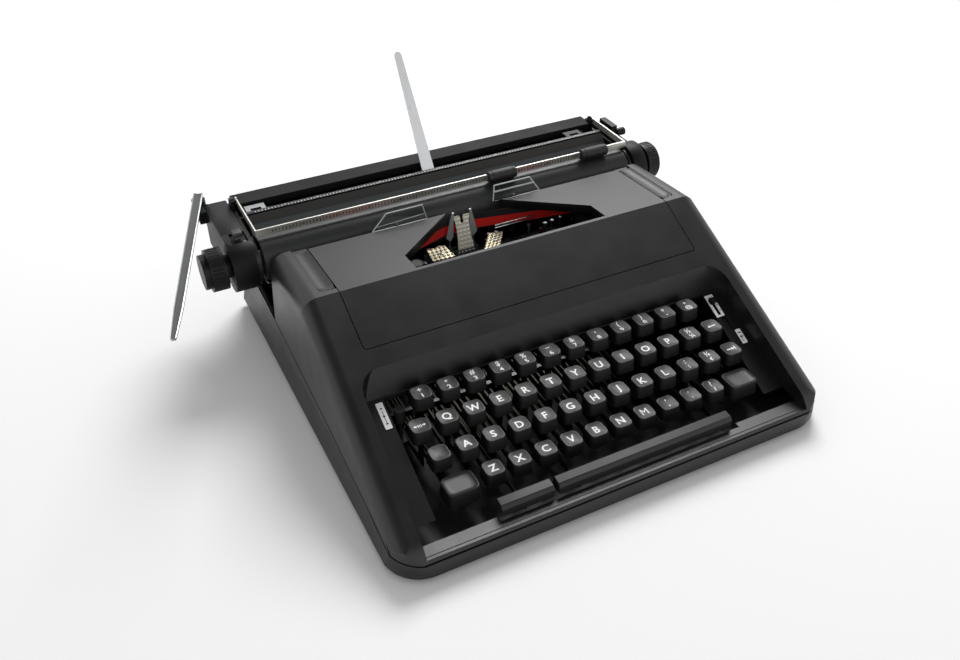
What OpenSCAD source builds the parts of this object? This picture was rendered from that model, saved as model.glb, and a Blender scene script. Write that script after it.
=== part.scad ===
/* [Body shell] */
// Half width of the body at the bottom edge
body_hw = 164.5; // [150:0.5:180]
// Front face of the body
front_y = -148; // [-160:0.5:-140]
// Rear wall of the lower housing
back_y = 173.5; // [165:0.5:185]
// Height of the crease between the slope and the top
crease_z = 101.7; // [95:0.1:110]
// Position of that crease from front to back
crease_y = 17.5; // [10:0.5:25]
// Slope of the front of the body in degrees
slope_a = 25.8; // [20:0.1:32]
// Fall of the top towards the rear in degrees
top_a = 4.2; // [0:0.1:8]
// Shell wall thickness
wall = 3; // [2.4:0.1:4]
// Radius of the shoulders and side ridges
shoulder_r = 11; // [8:0.5:16]
// Radius of the rounded front nose
nose_r = 22; // [16:0.5:28]
// Radius of the front corners seen from above
corner_r = 25.5; // [18:0.5:34]
// Height of the rubber feet below the pan
foot_h = 3; // [2:0.5:6]

/* [Keyboard] */
// Key pitch along a row
pitch = 19.05; // [18:0.05:20]
// Width of one key cap at its foot
cap_w = 14.4; // [12:0.1:16]
// Height of one key cap
cap_h = 9.6; // [7:0.1:12]
// Half width of the key opening
open_hw = 127; // [120:0.5:132]
// Width of one key lever
lever_t = 1.2; // [0.8:0.1:1.6]

/* [Cover] */
// Half width of the ribbon cover
cover_hw = 130; // [120:0.5:136]
// Thickness of the ribbon cover
cover_t = 2.4; // [1.8:0.1:3.5]
// Gap between the ribbon cover and the shell
seam = 0.6; // [0.3:0.05:1]

/* [Carriage] */
// Radius of the platen
platen_r = 16.5; // [14:0.1:19]
// Platen axis from front to back
platen_y = 108; // [104:0.5:114]
// Platen axis height
platen_z = 82.6; // [78:0.1:88]
// Radius of the platen knobs
knob_r = 15.5; // [13:0.1:18]
// Diameter of the carriage rails
rail_d = 6; // [4:0.5:8]

/* [Type basket] */
// Printing point along the width
print_x = -6.5; // [-12:0.5:0]
// Radius of the circle of typebar pivots
seg_r = 52; // [48:0.5:56]
// Front to back position of the typebar pivots
seg_y = 67.5; // [64:0.5:70]
// Angle between neighbouring typebars
bar_step = 2.5; // [2.3:0.1:3]

/* [Hidden] */
$fn = 64;
pan_z = foot_h;
pan_top = pan_z + 2.7;
edge_z = 6;
half_x_mid = 161.3;
half_x_top = 156.8;
mid_z = 22;
lever_z = 15.5;
lever_h = 4.8;
fulcrum_y = 100;
fulcrum_z = 18;
print_z = 86;
carr_l = -159;
carr_r = 150;
lever_px = carr_l - 25;
lever_py = 176;
lever_a = 18.4;
lever_len = 173.9;
lever_tip_r = 1.8;
lever_tip_x = lever_px - (lever_len - lever_tip_r) * sin(lever_a) - lever_tip_r;
knob_end_x = carr_r + 32.5;
arm_x = -8;
arm_len = 92;
arm_a = 34.7;
arm_base_y = 147.5;
arm_base_z = 102;
arm_t = 1.2;
rear_top_y = arm_base_y + arm_len * sin(arm_a) + arm_t / 2 * cos(arm_a);
mid_x = (lever_tip_x + knob_end_x) / 2;
mid_y = (front_y + rear_top_y) / 2;
n_slope = [-sin(slope_a), cos(slope_a)];
n_top = [sin(top_a), cos(top_a)];
nose_y = front_y + nose_r;
nose_z = crease_z - (crease_y - nose_y) * tan(slope_a) - nose_r / cos(slope_a);
side_lean = atan((half_x_mid - half_x_top) / (crease_z - mid_z));
corner_z = 34;
corner_x = half_x_mid - (corner_z - mid_z) * tan(side_lean);
corner_lean = atan((body_hw - corner_x) / (corner_z - edge_z));
corner_out = 0.65;
row_dx = [0, -9.4, -4.7, 4.7];
row_y = [-52.3, -70.8, -89.2, -107.7];
row_z = [59.4, 49.9, 40.5, 31];
deck_a = 24;
strip_z = 17.5;
cover_front_y = -23;
cover_back_y = 82.6;
guide_dx = 60;
guide_r = 2.5;
top_z = 102;
bail_z = 104.6;

black = [0.09, 0.09, 0.09];
grey = [0.45, 0.45, 0.45];
steel = [0.72, 0.72, 0.74];

function unit(v) = v / norm(v);
function top_line(y) = crease_z - abs(y - crease_y) * (y < crease_y ? tan(slope_a) : tan(top_a));
function deck_z(y) = strip_z + max(0, y + 125) * tan(deck_a);
function groove_z(y) = y < -122 ? 15.2 + (y + 150) * 0.135
  : y < -30 ? 19 + (y + 122) * 0.136 : y < 110 ? 31.5 + (y + 30) * 0.088
  : 43.8 + (y - 110) * 0.034;
function key_x(r, i) = -104.8 + pitch * i + row_dx[r];

module placed() {
  translate([-mid_x, -mid_y, 0]) children();
}

// A prism along X whose section is drawn as front to back and height.
module along_x(x0, x1) {
  translate([x0, 0, 0]) rotate([90, 0, 90]) linear_extrude(x1 - x0) children();
}

// A rod along X.
module rod_x(x0, x1, y, z, r) {
  translate([x0, y, z]) rotate([0, 90, 0]) cylinder(h = x1 - x0, r = r);
}

module box(x0, x1, y0, y1, z0, z1) {
  translate([x0, y0, z0]) cube([x1 - x0, y1 - y0, z1 - z0]);
}

// Round cut along the edge of two planes through p with outward normals n1 and n2.
module edge_cut(p, n1, n2, r, l) {
  d = unit(cross(n1, n2));
  m = unit(n1 + n2);
  b = acos(d[2]);
  c = atan2(d[1], d[0]);
  ex = [cos(b) * cos(c), cos(b) * sin(c), -sin(b)];
  ey = [-sin(c), cos(c), 0];
  phi = atan2(m * ey, m * ex);
  half = acos(m * n1);
  k = r / cos(half);
  t = r + 4;
  translate(p) rotate([0, b, c]) rotate([0, 0, phi]) translate([0, 0, -l])
    linear_extrude(2 * l) difference() {
      polygon([[-k, 0], [-k + t * cos(half), t * sin(half)], [8, 0],
        [-k + t * cos(half), -t * sin(half)]]);
      translate([-k, 0]) circle(r = r, $fn = 96);
    }
}

module side_profile(g, back) {
  nb = unit(n_slope + n_top);
  cg = [crease_y, crease_z] - nb * g / (nb * n_slope);
  tn = [nose_y, nose_z] + n_slope * (nose_r - g);
  polygon([[front_y + g, -5], [front_y + g, nose_z], [nose_y, nose_z], tn, cg,
    [back, cg[1] - (back - cg[0]) * tan(top_a)], [back, -5]]);
  translate([nose_y, nose_z]) circle(r = nose_r - g, $fn = 96);
}

module front_profile(g) {
  w0 = half_x_mid + (mid_z + 5) * (body_hw - half_x_mid) / (mid_z - edge_z) - g;
  wt = half_x_top - (40 - g) * tan(side_lean) - g;
  polygon([[-w0, -5], [-half_x_mid + g, mid_z], [-wt, crease_z + 40 - g],
    [wt, crease_z + 40 - g], [half_x_mid - g, mid_z], [w0, -5]]);
}

// Outline of the base seen from above, a step of g inside the edge of the housing.
module plan(g, back) {
  r = corner_r - g;
  w = body_hw - g;
  yc = front_y + corner_r;
  translate([-w, yc]) square([2 * w, back - yc]);
  translate([-w + r, front_y + g]) square([2 * (w - r), 60]);
  for (s = [-1, 1]) translate([s * (w - r), yc]) circle(r = r, $fn = 96);
}

module shell_form(g, back) {
  sx = half_x_top - g;
  nb = unit(n_slope + n_top);
  cg = [crease_y, crease_z] - nb * g / (nb * n_slope);
  difference() {
    intersection() {
      along_x(-200, 200) side_profile(g, back);
      translate([0, 300, 0]) rotate([90, 0, 0]) linear_extrude(600) front_profile(g);
    }
    for (s = [-1, 1]) {
      edge_cut([s * sx, cg[0], cg[1]], [s * cos(side_lean), 0, sin(side_lean)],
        [0, n_slope[0], n_slope[1]], shoulder_r - g, 240);
      edge_cut([s * sx, cg[0], cg[1]], [s * cos(side_lean), 0, sin(side_lean)],
        [0, n_top[0], n_top[1]], shoulder_r + 0.8 - g, 240);
      // Round front corner, leaning with the side between the bottom edge and the nose.
      edge_cut([s * (body_hw + corner_out - g / cos(corner_lean)), front_y + g, edge_z],
        [s * cos(corner_lean), 0, sin(corner_lean)], [0, -1, 0], corner_r - g, 60);
    }
  }
}

// The sunk keyboard deck with its steep rear wall and straight sides.
module well(w) {
  intersection() {
    along_x(-160, 160) polygon([[-180, strip_z - w], [-125 + w * 0.21, strip_z - w],
      [-41 + w, deck_z(-41 + w) - w / cos(deck_a)], [-36 + w, 77], [-36 + w, 150],
      [-180, 150]]);
    linear_extrude(160) union() {
      polygon([[-145 - w, -180], [145 + w, -180], [142 + w, -51], [-142 - w, -51]]);
      translate([-127, -60]) square([254, 24 + w]);
      for (s = [-1, 1]) translate([s * 127, -51]) circle(r = 15 + w, $fn = 96);
    }
  }
}

module groove_side(dz, up) {
  ys = [-170, -122, -30, 110, 200];
  line = [for (y = ys) [y, groove_z(y) + dz]];
  along_x(-200, 200) polygon(up ? concat(line, [[200, 200], [-170, 200]])
    : concat(line, [[200, -10], [-170, -10]]));
}

module base_pan() {
  color(black) difference() {
    union() {
      translate([0, 0, pan_z]) linear_extrude(2.7) plan(0.9, back_y - 0.9);
      for (s = [-1, 1]) box(s > 0 ? 150 : -152, s > 0 ? 152 : -150, -110, 150, pan_z + 1, 12);
    }
    for (x = [-90:20:90]) box(x - 2, x + 2, 20, 70, pan_z - 1, pan_z + 4);
    for (x = [-130, 130]) for (y = [-95, 130]) translate([x, y, pan_z - 1]) cylinder(h = 5, r = 2.3);
  }
}

module rubber_feet() {
  color(black) for (x = [-140, 140]) for (y = [-116, 150]) translate([x, y, 0]) union() {
    cylinder(h = foot_h, r = 9);
    cylinder(h = 0.6, r = 9);
  }
}

module pan_screws() {
  color(steel) for (x = [-130, 130]) for (y = [-95, 130]) translate([x, y, 0]) {
    difference() {
      translate([0, 0, pan_z - 1.4]) cylinder(h = 1.4, r = 3.6);
      box(-4, 4, -0.4, 0.4, pan_z - 1.6, pan_z - 0.8);
    }
    translate([0, 0, pan_z - 0.2]) cylinder(h = 7, r = 1.9);
  }
}

module lower_housing() {
  color(black) difference() {
    union() {
      intersection() {
        difference() {
          shell_form(0, back_y);
          shell_form(wall, back_y - wall);
        }
        groove_side(-1.1, false);
      }
      intersection() {
        difference() {
          shell_form(1.3, back_y - 0.1);
          shell_form(wall, back_y - wall);
        }
        groove_side(-0.15, false);
      }
    }
    box(-250, 250, -250, 250, -20, edge_z);
  }
}

// Outline of the ribbon cover seen from above, widened by g, with round front corners.
module cover_plan(g) {
  r = 2 + g;
  w = cover_hw + g;
  translate([-w, cover_front_y + 2]) square([2 * w, 98 - cover_front_y]);
  translate([r - w, cover_front_y - g]) square([2 * (w - r), 10]);
  for (s = [-1, 1]) translate([s * (w - r), cover_front_y + 2]) circle(r = r);
}

module upper_shell() {
  cover_r = cover_hw + seam;
  color(black) difference() {
    intersection() {
      union() {
        difference() {
          shell_form(0, 86);
          shell_form(wall, 200);
        }
        intersection() {
          shell_form(wall - 0.2, 86);
          well(2.4);
          box(-170, 170, -146, 0, 0, 120);
        }
        for (s = [-1, 1]) intersection() {
          shell_form(wall - 0.2, 86);
          box(s > 0 ? cover_hw - 4 : -cover_r - 3, s > 0 ? cover_r + 3 : 4 - cover_hw,
            cover_front_y - 3, 86, 78, 110);
          along_x(-200, 200) polygon([[-30, top_line(-30) - 6], [crease_y, crease_z - 6.4],
            [86, top_line(86) - 6], [86, 110], [-30, 110]]);
        }
      }
      groove_side(0.15, true);
    }
    difference() {
      well(0);
      box(-200, 200, -40, 0, 0, 40);
    }
    // Opening for the lift-off cover, with a ledge left under its sides.
    translate([0, 0, 97]) linear_extrude(23) cover_plan(seam);
    intersection() {
      translate([0, 0, 60]) linear_extrude(60) cover_plan(seam);
      along_x(-200, 200) polygon([[-30, top_line(-30) - 3], [crease_y, crease_z - 3.1],
        [100, top_line(100) - 3], [100, 130], [-30, 130]]);
    }
    box(4 - cover_hw, cover_hw - 4, cover_front_y + 4, 100, 60, 120);
    // Key opening with the front notch for the bars.
    box(-open_hw, open_hw, -125, -42, 0, 100);
    box(-91.5, 91.5, -138, -120, 0, 100);
    // Hollow below the deck.
    difference() {
      box(-140, 140, -120, -37.5, 0, 60);
      well(2.6);
    }
    // Shallow finger recess along each side of the cover, round at its outer front corner.
    for (s = [-1, 1]) translate([0, crease_y, crease_z - 1.5]) rotate([-top_a, 0, 0])
      linear_extrude(8) {
        translate([s * 137, 9.5]) circle(r = 5, $fn = 96);
        translate([s > 0 ? cover_r - 2 : -142, 9.5]) square([144 - cover_r, 80]);
        translate([s > 0 ? cover_r - 2 : -137, 4.5]) square([139 - cover_r, 80]);
      }
    // Slot of the right-hand slider and the notch beside it.
    box(130.2, 131.8, -60, -46, 30, 80);
    translate([0, -67, deck_z(-67)]) rotate([deck_a, 0, 0]) box(130.6, 134.6, -5.2, 5, -1.2, 2);
  }
}

module side_frames() {
  color(grey) for (s = [-1, 1]) for (y = [-95, 130]) difference() {
    box(s > 0 ? 126 : -138, s > 0 ? 138 : -126, y - 4, y + 4, pan_top, pan_top + 6);
    translate([s * 130, y, 0]) cylinder(h = 20, r = 1.9);
  }
  color(grey) for (s = [-1, 1]) difference() {
    along_x(s * 139 - 1.25, s * 139 + 1.25) polygon([[-112, pan_top], [-112, 13], [-46, 40],
      [10, 66], [60, 66], [84, 51.5], [168, 45], [168, pan_top]]);
    rod_x(s * 139 - 3, s * 139 + 3, fulcrum_y, fulcrum_z, 2);
    rod_x(s * 139 - 3, s * 139 + 3, 30, 40, 12);
    rod_x(s * 139 - 3, s * 139 + 3, -40, 20, 8);
  }
}

// Slotted comb that keeps the key levers in line.
module lever_comb() {
  difference() {
    union() {
      box(-137.75, 137.75, -28, -25, pan_top, 23);
      box(-137.75, 137.75, -28, -18, pan_top, pan_z + 4);
    }
    for (r = [0:3]) for (i = [0:12]) comb_slot(key_x(r, i));
    for (x = [-107.15, 109.5, -73.75, -30.95, 83.3]) comb_slot(x);
  }
}

module comb_slot(x) {
  box(x - 1.05, x + 1.05, -30, -20, 7.6, 21.5);
}

// Blocks whose bores carry the sliding rails of the carriage.
module rail_guides() {
  for (x = [-56, 26]) for (y = [128, 160]) difference() {
    box(x, x + 20, y - 6, y + 6, 48, 61.5);
    rod_x(x - 1, x + 21, y, 57, rail_d / 2 + 0.06);
  }
}

module cross_members() {
  color(grey) union() {
    difference() {
      union() {
        box(-137.75, 137.75, 118, 168, 46, 48.5);
        box(-137.75, 137.75, 134, 136.5, 30, 46);
      }
      for (x = [-110:22:110]) translate([x, 143, 40]) cylinder(h = 12, r = 6);
    }
    rail_guides();
  }
  color(grey) lever_comb();
  color(grey) union() {
    box(-137.75, 137.75, seg_y - 3, seg_y + 3, 21, 23);
    for (s = [-1, 1]) translate([print_x + s * guide_dx, seg_y, 22]) cylinder(h = 48, r = guide_r);
  }
  // Bar over the levers that carries the type guide and the plates beside it.
  color(grey) box(-137.75, 137.75, 79.5, 83, 22.5, 30);
  // Bracket that guides the tab set button.
  color(grey) difference() {
    box(-137.75, -115.5, -53, -45, 18, 21);
    translate([-119, -49.1, 10]) cylinder(h = 20, r = 1.56);
  }
}

module carriage_rails() {
  color(steel) for (y = [128, 160]) rod_x(carr_l - 5.7, carr_r + 2.9, y, 57, rail_d / 2);
}

module fulcrum_rod() {
  color(steel) rod_x(-141, 141, fulcrum_y, fulcrum_z, 2);
}

module type_guide() {
  lean = atan2(10, 28);
  color(steel) union() {
    translate([print_x, 79.4, 61]) rotate([-lean, 0, 0]) difference() {
      union() {
        box(-6.25, 6.25, 0, 1.6, 0, 28.6);
        box(-6.25, -4.6, -1.2, 0.4, 4, 22);
        box(4.6, 6.25, -1.2, 0.4, 4, 22);
        box(-9, 9, 0, 1.6, -10, 4);
      }
      rotate([90, 0, 0]) translate([0, 0, -3]) linear_extrude(6)
        polygon([[-5, 29], [-1.6, 20], [1.6, 20], [5, 29]]);
    }
    difference() {
      box(print_x - 9, print_x + 9, 76.6, 79.4, 30, 54);
      box(print_x - 4, print_x + 4, 70, 82, 36, 48);
    }
    box(print_x - 9, print_x + 9, seg_y + 4.1, 79.4, 30, 33);
  }
}

module gauge_plates() {
  // Each plate is [outline, left end of its beam, right end, first post, second post].
  color(steel) for (q = [
    [[[-44.6, -1], [-26, -1.6], [-28.3, 13.8], [-43.2, 13.4]], -43, -27, -41, -32],
    [[[-3.5, -3], [11, -2.4], [20.6, 12], [8.7, 13.6]], 8.6, 21, 10, 16.5]]) {
    box(q[1], q[2], 77.6, 79.2, 52, 68);
    for (x = [q[3], q[4]]) {
      box(x, x + 3, 77.6, 79.2, 24, 54);
      box(x, x + 3, 72, 79.2, 66, 75);
    }
    difference() {
      translate([0, 60, 73]) rotate([6, 0, 0]) linear_extrude(1.4) polygon(q[0]);
      translate([(q[0][0][0] + q[0][2][0]) / 2, 65, 60]) cylinder(h = 30, r = 1.6);
    }
  }
}

module card_holders() {
  color([0.7, 0.72, 0.74]) {
    for (x = [-62, 36]) {
      along_x(x, x + 2) polygon([[83.3, 84], [85.3, 84], [87.4, 97], [84.6, 97], [83.3, 88]]);
      box(x, x + 2, 83.3, 85.3, 24, 86);
    }
    translate([0, 84.6, 96]) rotate([78, 0, 0]) linear_extrude(0.9) {
      polygon([[-81, 0], [-37, 0], [-39.5, 11.5], [-68.5, 11.5]]);
      polygon([[18, 0], [59, 0], [51, 12.5], [20, 12.5]]);
    }
  }
}

module type_segment() {
  n = 22;
  color(steel) union() {
    difference() {
      union() {
        translate([print_x, seg_y + 4, print_z]) rotate([90, 0, 0]) linear_extrude(8) difference() {
          intersection() {
            circle(r = seg_r + 5, $fn = 96);
            polygon([[0, 6], [-100, -52], [-100, -120], [100, -120], [100, -52]]);
          }
          circle(r = seg_r - 5, $fn = 96);
        }
        for (s = [-1, 1]) translate([print_x + s * 55, seg_y, 58.5])
          cube([18, 7.4, 7], center = true);
      }
      for (k = [-n:n - 1]) translate([print_x, 0, print_z]) rotate([0, (k + 0.5) * bar_step, 0])
        box(-0.65, 0.65, seg_y - 5, seg_y + 5, -seg_r - 3, -seg_r + 8);
      for (s = [-1, 1]) translate([print_x + s * guide_dx, seg_y, 50])
        cylinder(h = 20, r = guide_r + 0.06);
    }
    // Wire that all the typebars swing on.
    translate([print_x, seg_y, print_z]) rotate([90, 0, 0]) rotate([0, 0, -150])
      rotate_extrude(angle = 120, $fn = 96) translate([seg_r, 0]) circle(r = 0.42, $fn = 16);
  }
}

// One typebar at rest, drawn at the lowest place of the circle.
module typebar() {
  difference() {
    union() {
      box(-0.5, 0.5, seg_y - 56, seg_y + 1.6, -seg_r - 1.6, -seg_r + 1.6);
      box(-0.9, 0.9, seg_y - 59.2, seg_y - 53.6, -seg_r - 2, -seg_r + 5.6);
    }
    translate([-2, seg_y, -seg_r]) rotate([0, 90, 0]) cylinder(h = 4, r = 0.5, $fn = 16);
  }
}

module typebars() {
  color(steel) for (k = [-22:21]) if (k != 0) translate([print_x, 0, print_z])
    rotate([0, (k + 0.5) * bar_step, 0]) typebar();
}

module typebar_h() {
  color(steel) translate([print_x, 0, print_z]) rotate([0, 0.5 * bar_step, 0]) typebar();
}

module type_rest() {
  color([0.3, 0.05, 0.05]) union() {
    translate([print_x, 22, print_z]) rotate([90, 0, 0]) linear_extrude(10) difference() {
      intersection() {
        circle(r = seg_r + 6, $fn = 96);
        polygon([[0, 6], [-100, -48], [-100, -120], [100, -120], [100, -48]]);
      }
      circle(r = seg_r + 2.4, $fn = 96);
    }
    for (s = [-1, 1]) translate([print_x, 0, print_z]) rotate([0, s * 60.5, 0])
      box(-1.2, 1.2, 20, seg_y - 4.1, -seg_r - 5, -seg_r - 2.5);
  }
}

module spool(x) {
  color(grey) translate([x, 45, 0]) difference() {
    union() {
      translate([0, 0, 74.4]) cylinder(h = 0.9, r = 27);
      translate([0, 0, 74.4]) cylinder(h = 15.5, r = 9);
      translate([0, 0, 89]) cylinder(h = 0.9, r = 27);
      translate([0, 0, 75]) cylinder(h = 14.2, r = 23.5);
    }
    translate([0, 0, 70]) cylinder(h = 30, r = 3.05);
    for (a = [0:60:300]) rotate([0, 0, a]) translate([6.2, 0, 70]) cylinder(h = 30, r = 1.2);
  }
}

module spool_cups() {
  color(grey) for (s = [-1, 1]) {
    translate([s * 97, 45, 0]) {
      difference() {
        translate([0, 0, 69.4]) cylinder(h = 2.6, r = 29);
        translate([0, 0, 70.8]) cylinder(h = 5, r = 27.8);
      }
      translate([0, 0, 70]) cylinder(h = 22, r = 3);
      translate([0, 0, 70]) cylinder(h = 4.2, r = 6);
    }
    box(s > 0 ? 97 : -140, s > 0 ? 140 : -97, 38, 52, 66.2, 69.6);
  }
}

// The inked ribbon runs from spool to spool behind the type guide, lower in the middle.
module ribbon() {
  pts = [[-97, 69.2, 76], [-46, 79.5, 74.2], [-20, 90.75, 72.5], [7, 90.75, 72.5], [48, 79.5, 74.2],
    [97, 69.2, 76]];
  color([0.55, 0.05, 0.05]) union() for (i = [0:4]) {
    a = pts[i];
    b = pts[i + 1];
    l = norm([b[0] - a[0], b[1] - a[1]]);
    translate([a[0], a[1], 0]) rotate([0, 0, atan2(b[1] - a[1], b[0] - a[0])]) rotate([90, 0, 0])
      translate([0, 0, -0.15]) linear_extrude(0.3)
        polygon([[0, a[2]], [l + 0.05, b[2]], [l + 0.05, b[2] + 13], [0, a[2] + 13]]);
  }
}

module ribbon_vibrator() {
  color(steel) union() {
    for (s = [-1, 1]) {
      box(print_x + (s > 0 ? 7.2 : -11.2), print_x + (s > 0 ? 11.2 : -7.2), 88.4, 89.8, 60, 92);
      box(print_x + (s > 0 ? 9.8 : -11.2), print_x + (s > 0 ? 11.2 : -9.8), 81, 88.6, 60, 66);
    }
    box(print_x - 11.2, print_x + 11.2, 86.8, 88.5, 49, 62);
    box(print_x - 4, print_x + 4, 83.3, 88, 49, 53);
    box(print_x - 4, print_x + 4, 83.3, 85, 25, 53);
  }
}

// Label with round ends lying on the slope of the deck.
module deck_label(x, y0, y1, w) {
  l = (y1 - y0) / cos(deck_a);
  translate([x, y0, deck_z(y0)]) rotate([deck_a, 0, 0]) linear_extrude(0.35) {
    translate([-w / 2, w / 2]) square([w, l - w]);
    for (y = [w / 2, l - w / 2]) translate([0, y]) circle(r = w / 2, $fn = 48);
  }
}

module deck_labels() {
  color([0.9, 0.9, 0.9]) {
    difference() {
      deck_label(131, -61.4, -44, 5);
      box(129.9, 132.1, -60, -45.8, 30, 80);
    }
    deck_label(-131, -61.4, -44, 4.4);
    deck_label(137, -84.5, -73.5, 4);
  }
}

module ribbon_cover() {
  color(black) difference() {
    union() {
      along_x(-cover_hw, cover_hw) polygon([[cover_front_y, top_line(cover_front_y) - cover_t],
        [cover_front_y, top_line(cover_front_y)], [crease_y, crease_z],
        [cover_back_y, top_line(cover_back_y)], [cover_back_y, top_line(cover_back_y) - cover_t],
        [crease_y - 0.4, crease_z - cover_t - 0.1]]);
      for (s = [-1, 1]) intersection() {
        box(s > 0 ? 121 : -123.5, s > 0 ? 123.5 : -121, -16, cover_back_y - 1, 60, 110);
        along_x(-200, 200) polygon([[-16, top_line(-16) - 8], [crease_y, crease_z - 8],
          [82, top_line(82) - 8], [82, top_line(82) - 1], [crease_y, crease_z - 1],
          [-16, top_line(-16) - 1]]);
      }
    }
    translate([0, 0, 80]) linear_extrude(40)
      polygon([[-74, 20.5], [78, 20.5], [78, 40], [23, 84], [-21, 84], [-74, 40]]);
    for (s = [-1, 1]) translate([s * (cover_hw - 2), cover_front_y + 2, 60]) difference() {
      translate([s > 0 ? 0 : -4, -4, 0]) cube([4, 4, 60]);
      cylinder(h = 60, r = 2);
    }
  }
  color(black) difference() {
    translate([-70.8, 27, 94]) cylinder(h = 6.4, r = 4.6);
    translate([-70.8, 27, 98]) cylinder(h = 6, r = 1.6);
  }
}

// Tapered cap with rounded corners and a dished top; its top centre is the origin.
module cap(w, d, h, dish) {
  difference() {
    intersection() {
      translate([0, d / 2 + 1, 0]) rotate([90, 0, 0]) linear_extrude(d + 2)
        polygon([[-w / 2, -h], [-w / 2 + 0.7, 0], [w / 2 - 0.7, 0], [w / 2, -h]]);
      translate([-w / 2 - 1, 0, 0]) rotate([90, 0, 90]) linear_extrude(w + 2)
        polygon([[-d / 2, -h], [-d / 2 + 1, 0], [d / 2 - 0.5, 0], [d / 2, -h]]);
      translate([0, 0, -h]) linear_extrude(h + 1) {
        square([w - 6.6, d], center = true);
        square([w, d - 6.6], center = true);
        for (x = [-1, 1]) for (y = [-1, 1])
          translate([x * (w / 2 - 3.3), y * (d / 2 - 3.3)]) circle(r = 3.3, $fn = 32);
      }
    }
    if (dish > 0) translate([0, 0, 24 - dish]) sphere(r = 24, $fn = 96);
    translate([0, 0, -h - 1]) linear_extrude(h - 2.4) square([w - 4, d - 4], center = true);
    for (s = [-1, 1]) box(s * 60, s * 61, 0, 1, 0, 1);
  }
}

module lever(x, y, top) {
  difference() {
    union() {
      box(x - lever_t / 2, x + lever_t / 2, y - 3, fulcrum_y, lever_z, lever_z + lever_h);
      box(x - lever_t / 2, x + lever_t / 2, y - 3, y + 3, lever_z, top);
      rod_x(x - lever_t / 2, x + lever_t / 2, fulcrum_y, fulcrum_z, 4.2);
    }
    rod_x(x - 2, x + 2, fulcrum_y, fulcrum_z, 2.06);
  }
}

module row_caps(r, i0, i1) {
  color(black) for (i = [i0:i1]) if (r != 2 || i != 6) translate([key_x(r, i), row_y[r], row_z[r]]) union() {
    cap(cap_w, cap_w, cap_h, 0.8);
    box(-2.2, 2.2, -3.6, 3.6, -cap_h, -1.4);
  }
}

module row_levers(r, i0, i1) {
  color(steel) for (i = [i0:i1]) if (r != 2 || i != 6) lever(key_x(r, i), row_y[r], row_z[r] - cap_h);
}

module keys_row1() {
  row_caps(0, 0, 11);
}

module levers_row1() {
  row_levers(0, 0, 11);
}

module keys_row2() {
  row_caps(1, 1, 11);
}

module levers_row2() {
  row_levers(1, 1, 11);
}

module keys_row3() {
  row_caps(2, 1, 11);
}

module levers_row3() {
  row_levers(2, 1, 11);
}

module keys_row4() {
  row_caps(3, 1, 10);
}

module levers_row4() {
  row_levers(3, 1, 10);
}

module key_h() {
  color(black) translate([key_x(2, 6), row_y[2], row_z[2]]) union() {
    cap(cap_w, cap_w, cap_h, 0.8);
    box(-2.2, 2.2, -3.6, 3.6, -cap_h, -1.4);
  }
}

module lever_key_h() {
  color(steel) lever(key_x(2, 6), row_y[2], row_z[2] - cap_h);
}

module plain_key(r, i, w) {
  color(black) union() {
    translate([key_x(r, i), row_y[r], row_z[r]]) union() {
      cap(w, cap_w, cap_h, 0.8);
      box(-2.2, 2.2, -3.6, 3.6, -cap_h - 0.5, -1.4);
    }
    lever(key_x(r, i), row_y[r], row_z[r] - cap_h);
  }
}

module shift_lock_key() {
  plain_key(2, 0, cap_w);
}

module margin_release_key() {
  plain_key(1, 0, cap_w);
}

module backspace_key() {
  plain_key(1, 12, cap_w);
}

module tab_key() {
  plain_key(2, 12, cap_w);
}

// Both shift keys hang on one frame, joined by a tube behind the fulcrum.
module shift_keys() {
  color(black) union() {
    for (s = [[-105.4, -110, -107.15], [112.3, -109, 109.5]]) {
      translate([s[0], s[1], 31]) union() {
        cap(23, 18, cap_h + 1, 0.6);
        box(-5, 5, -4, 4, -cap_h - 1.5, -1.4);
      }
      lever(s[2], s[1], 31 - cap_h);
      box(s[2] - lever_t / 2, s[2] + lever_t / 2, fulcrum_y + 3, 114, fulcrum_z - 2, fulcrum_z + 2);
    }
    rod_x(-107.15, 109.5, 112, fulcrum_z, 2);
  }
}

// A bar on arms; each arm is [place at the fulcrum, place under the bar].
module bar_key(x0, x1, arms) {
  jog = -96;
  color(black) union() {
    along_x(x0, x1) polygon([[-136.6, 19], [-136.6, 25], [-135, 27.4], [-129, 27.9], [-127.4, 26],
      [-127.4, 19]]);
    for (q = arms) difference() {
      union() {
        box(q[0] - 0.6, q[0] + 0.6, jog - 1, fulcrum_y, 14.5, 18.5);
        box(min(q) - 0.6, max(q) + 0.6, jog - 1, jog + 1, 14.5, 18.5);
        box(q[1] - 0.6, q[1] + 0.6, -134, jog + 1, 14.5, 18.5);
        box(q[1] - 0.6, q[1] + 0.6, -134, -128.5, 14.5, 20);
        rod_x(q[0] - 0.6, q[0] + 0.6, fulcrum_y, fulcrum_z, 4.2);
      }
      rod_x(q[0] - 2, q[0] + 2, fulcrum_y, fulcrum_z, 2.06);
    }
  }
}

module space_bar() {
  bar_key(-49.5, 85, [[-30.95, -32.6], [83.3, 81.6]]);
}

module repeat_bar() {
  bar_key(-90, -53, [[-73.75, -72.1]]);
}

module tab_set_button() {
  color(black) union() {
    translate([-119, -49.1, 38]) cylinder(h = 9.6, r = 3.6);
    translate([-119, -49.1, 10]) cylinder(h = 29, r = 1.5);
  }
}

module ribbon_selector() {
  color(black) translate([131, -49.5, deck_z(-49.5)]) rotate([deck_a, 0, 0]) union() {
    box(-2.6, 2.6, -2, 2, 0.6, 4.2);
    box(-0.6, 0.6, -2, 2, -5, 1);
    box(-2.4, 2.4, -3, 3, -5.6, -3);
  }
}

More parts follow.
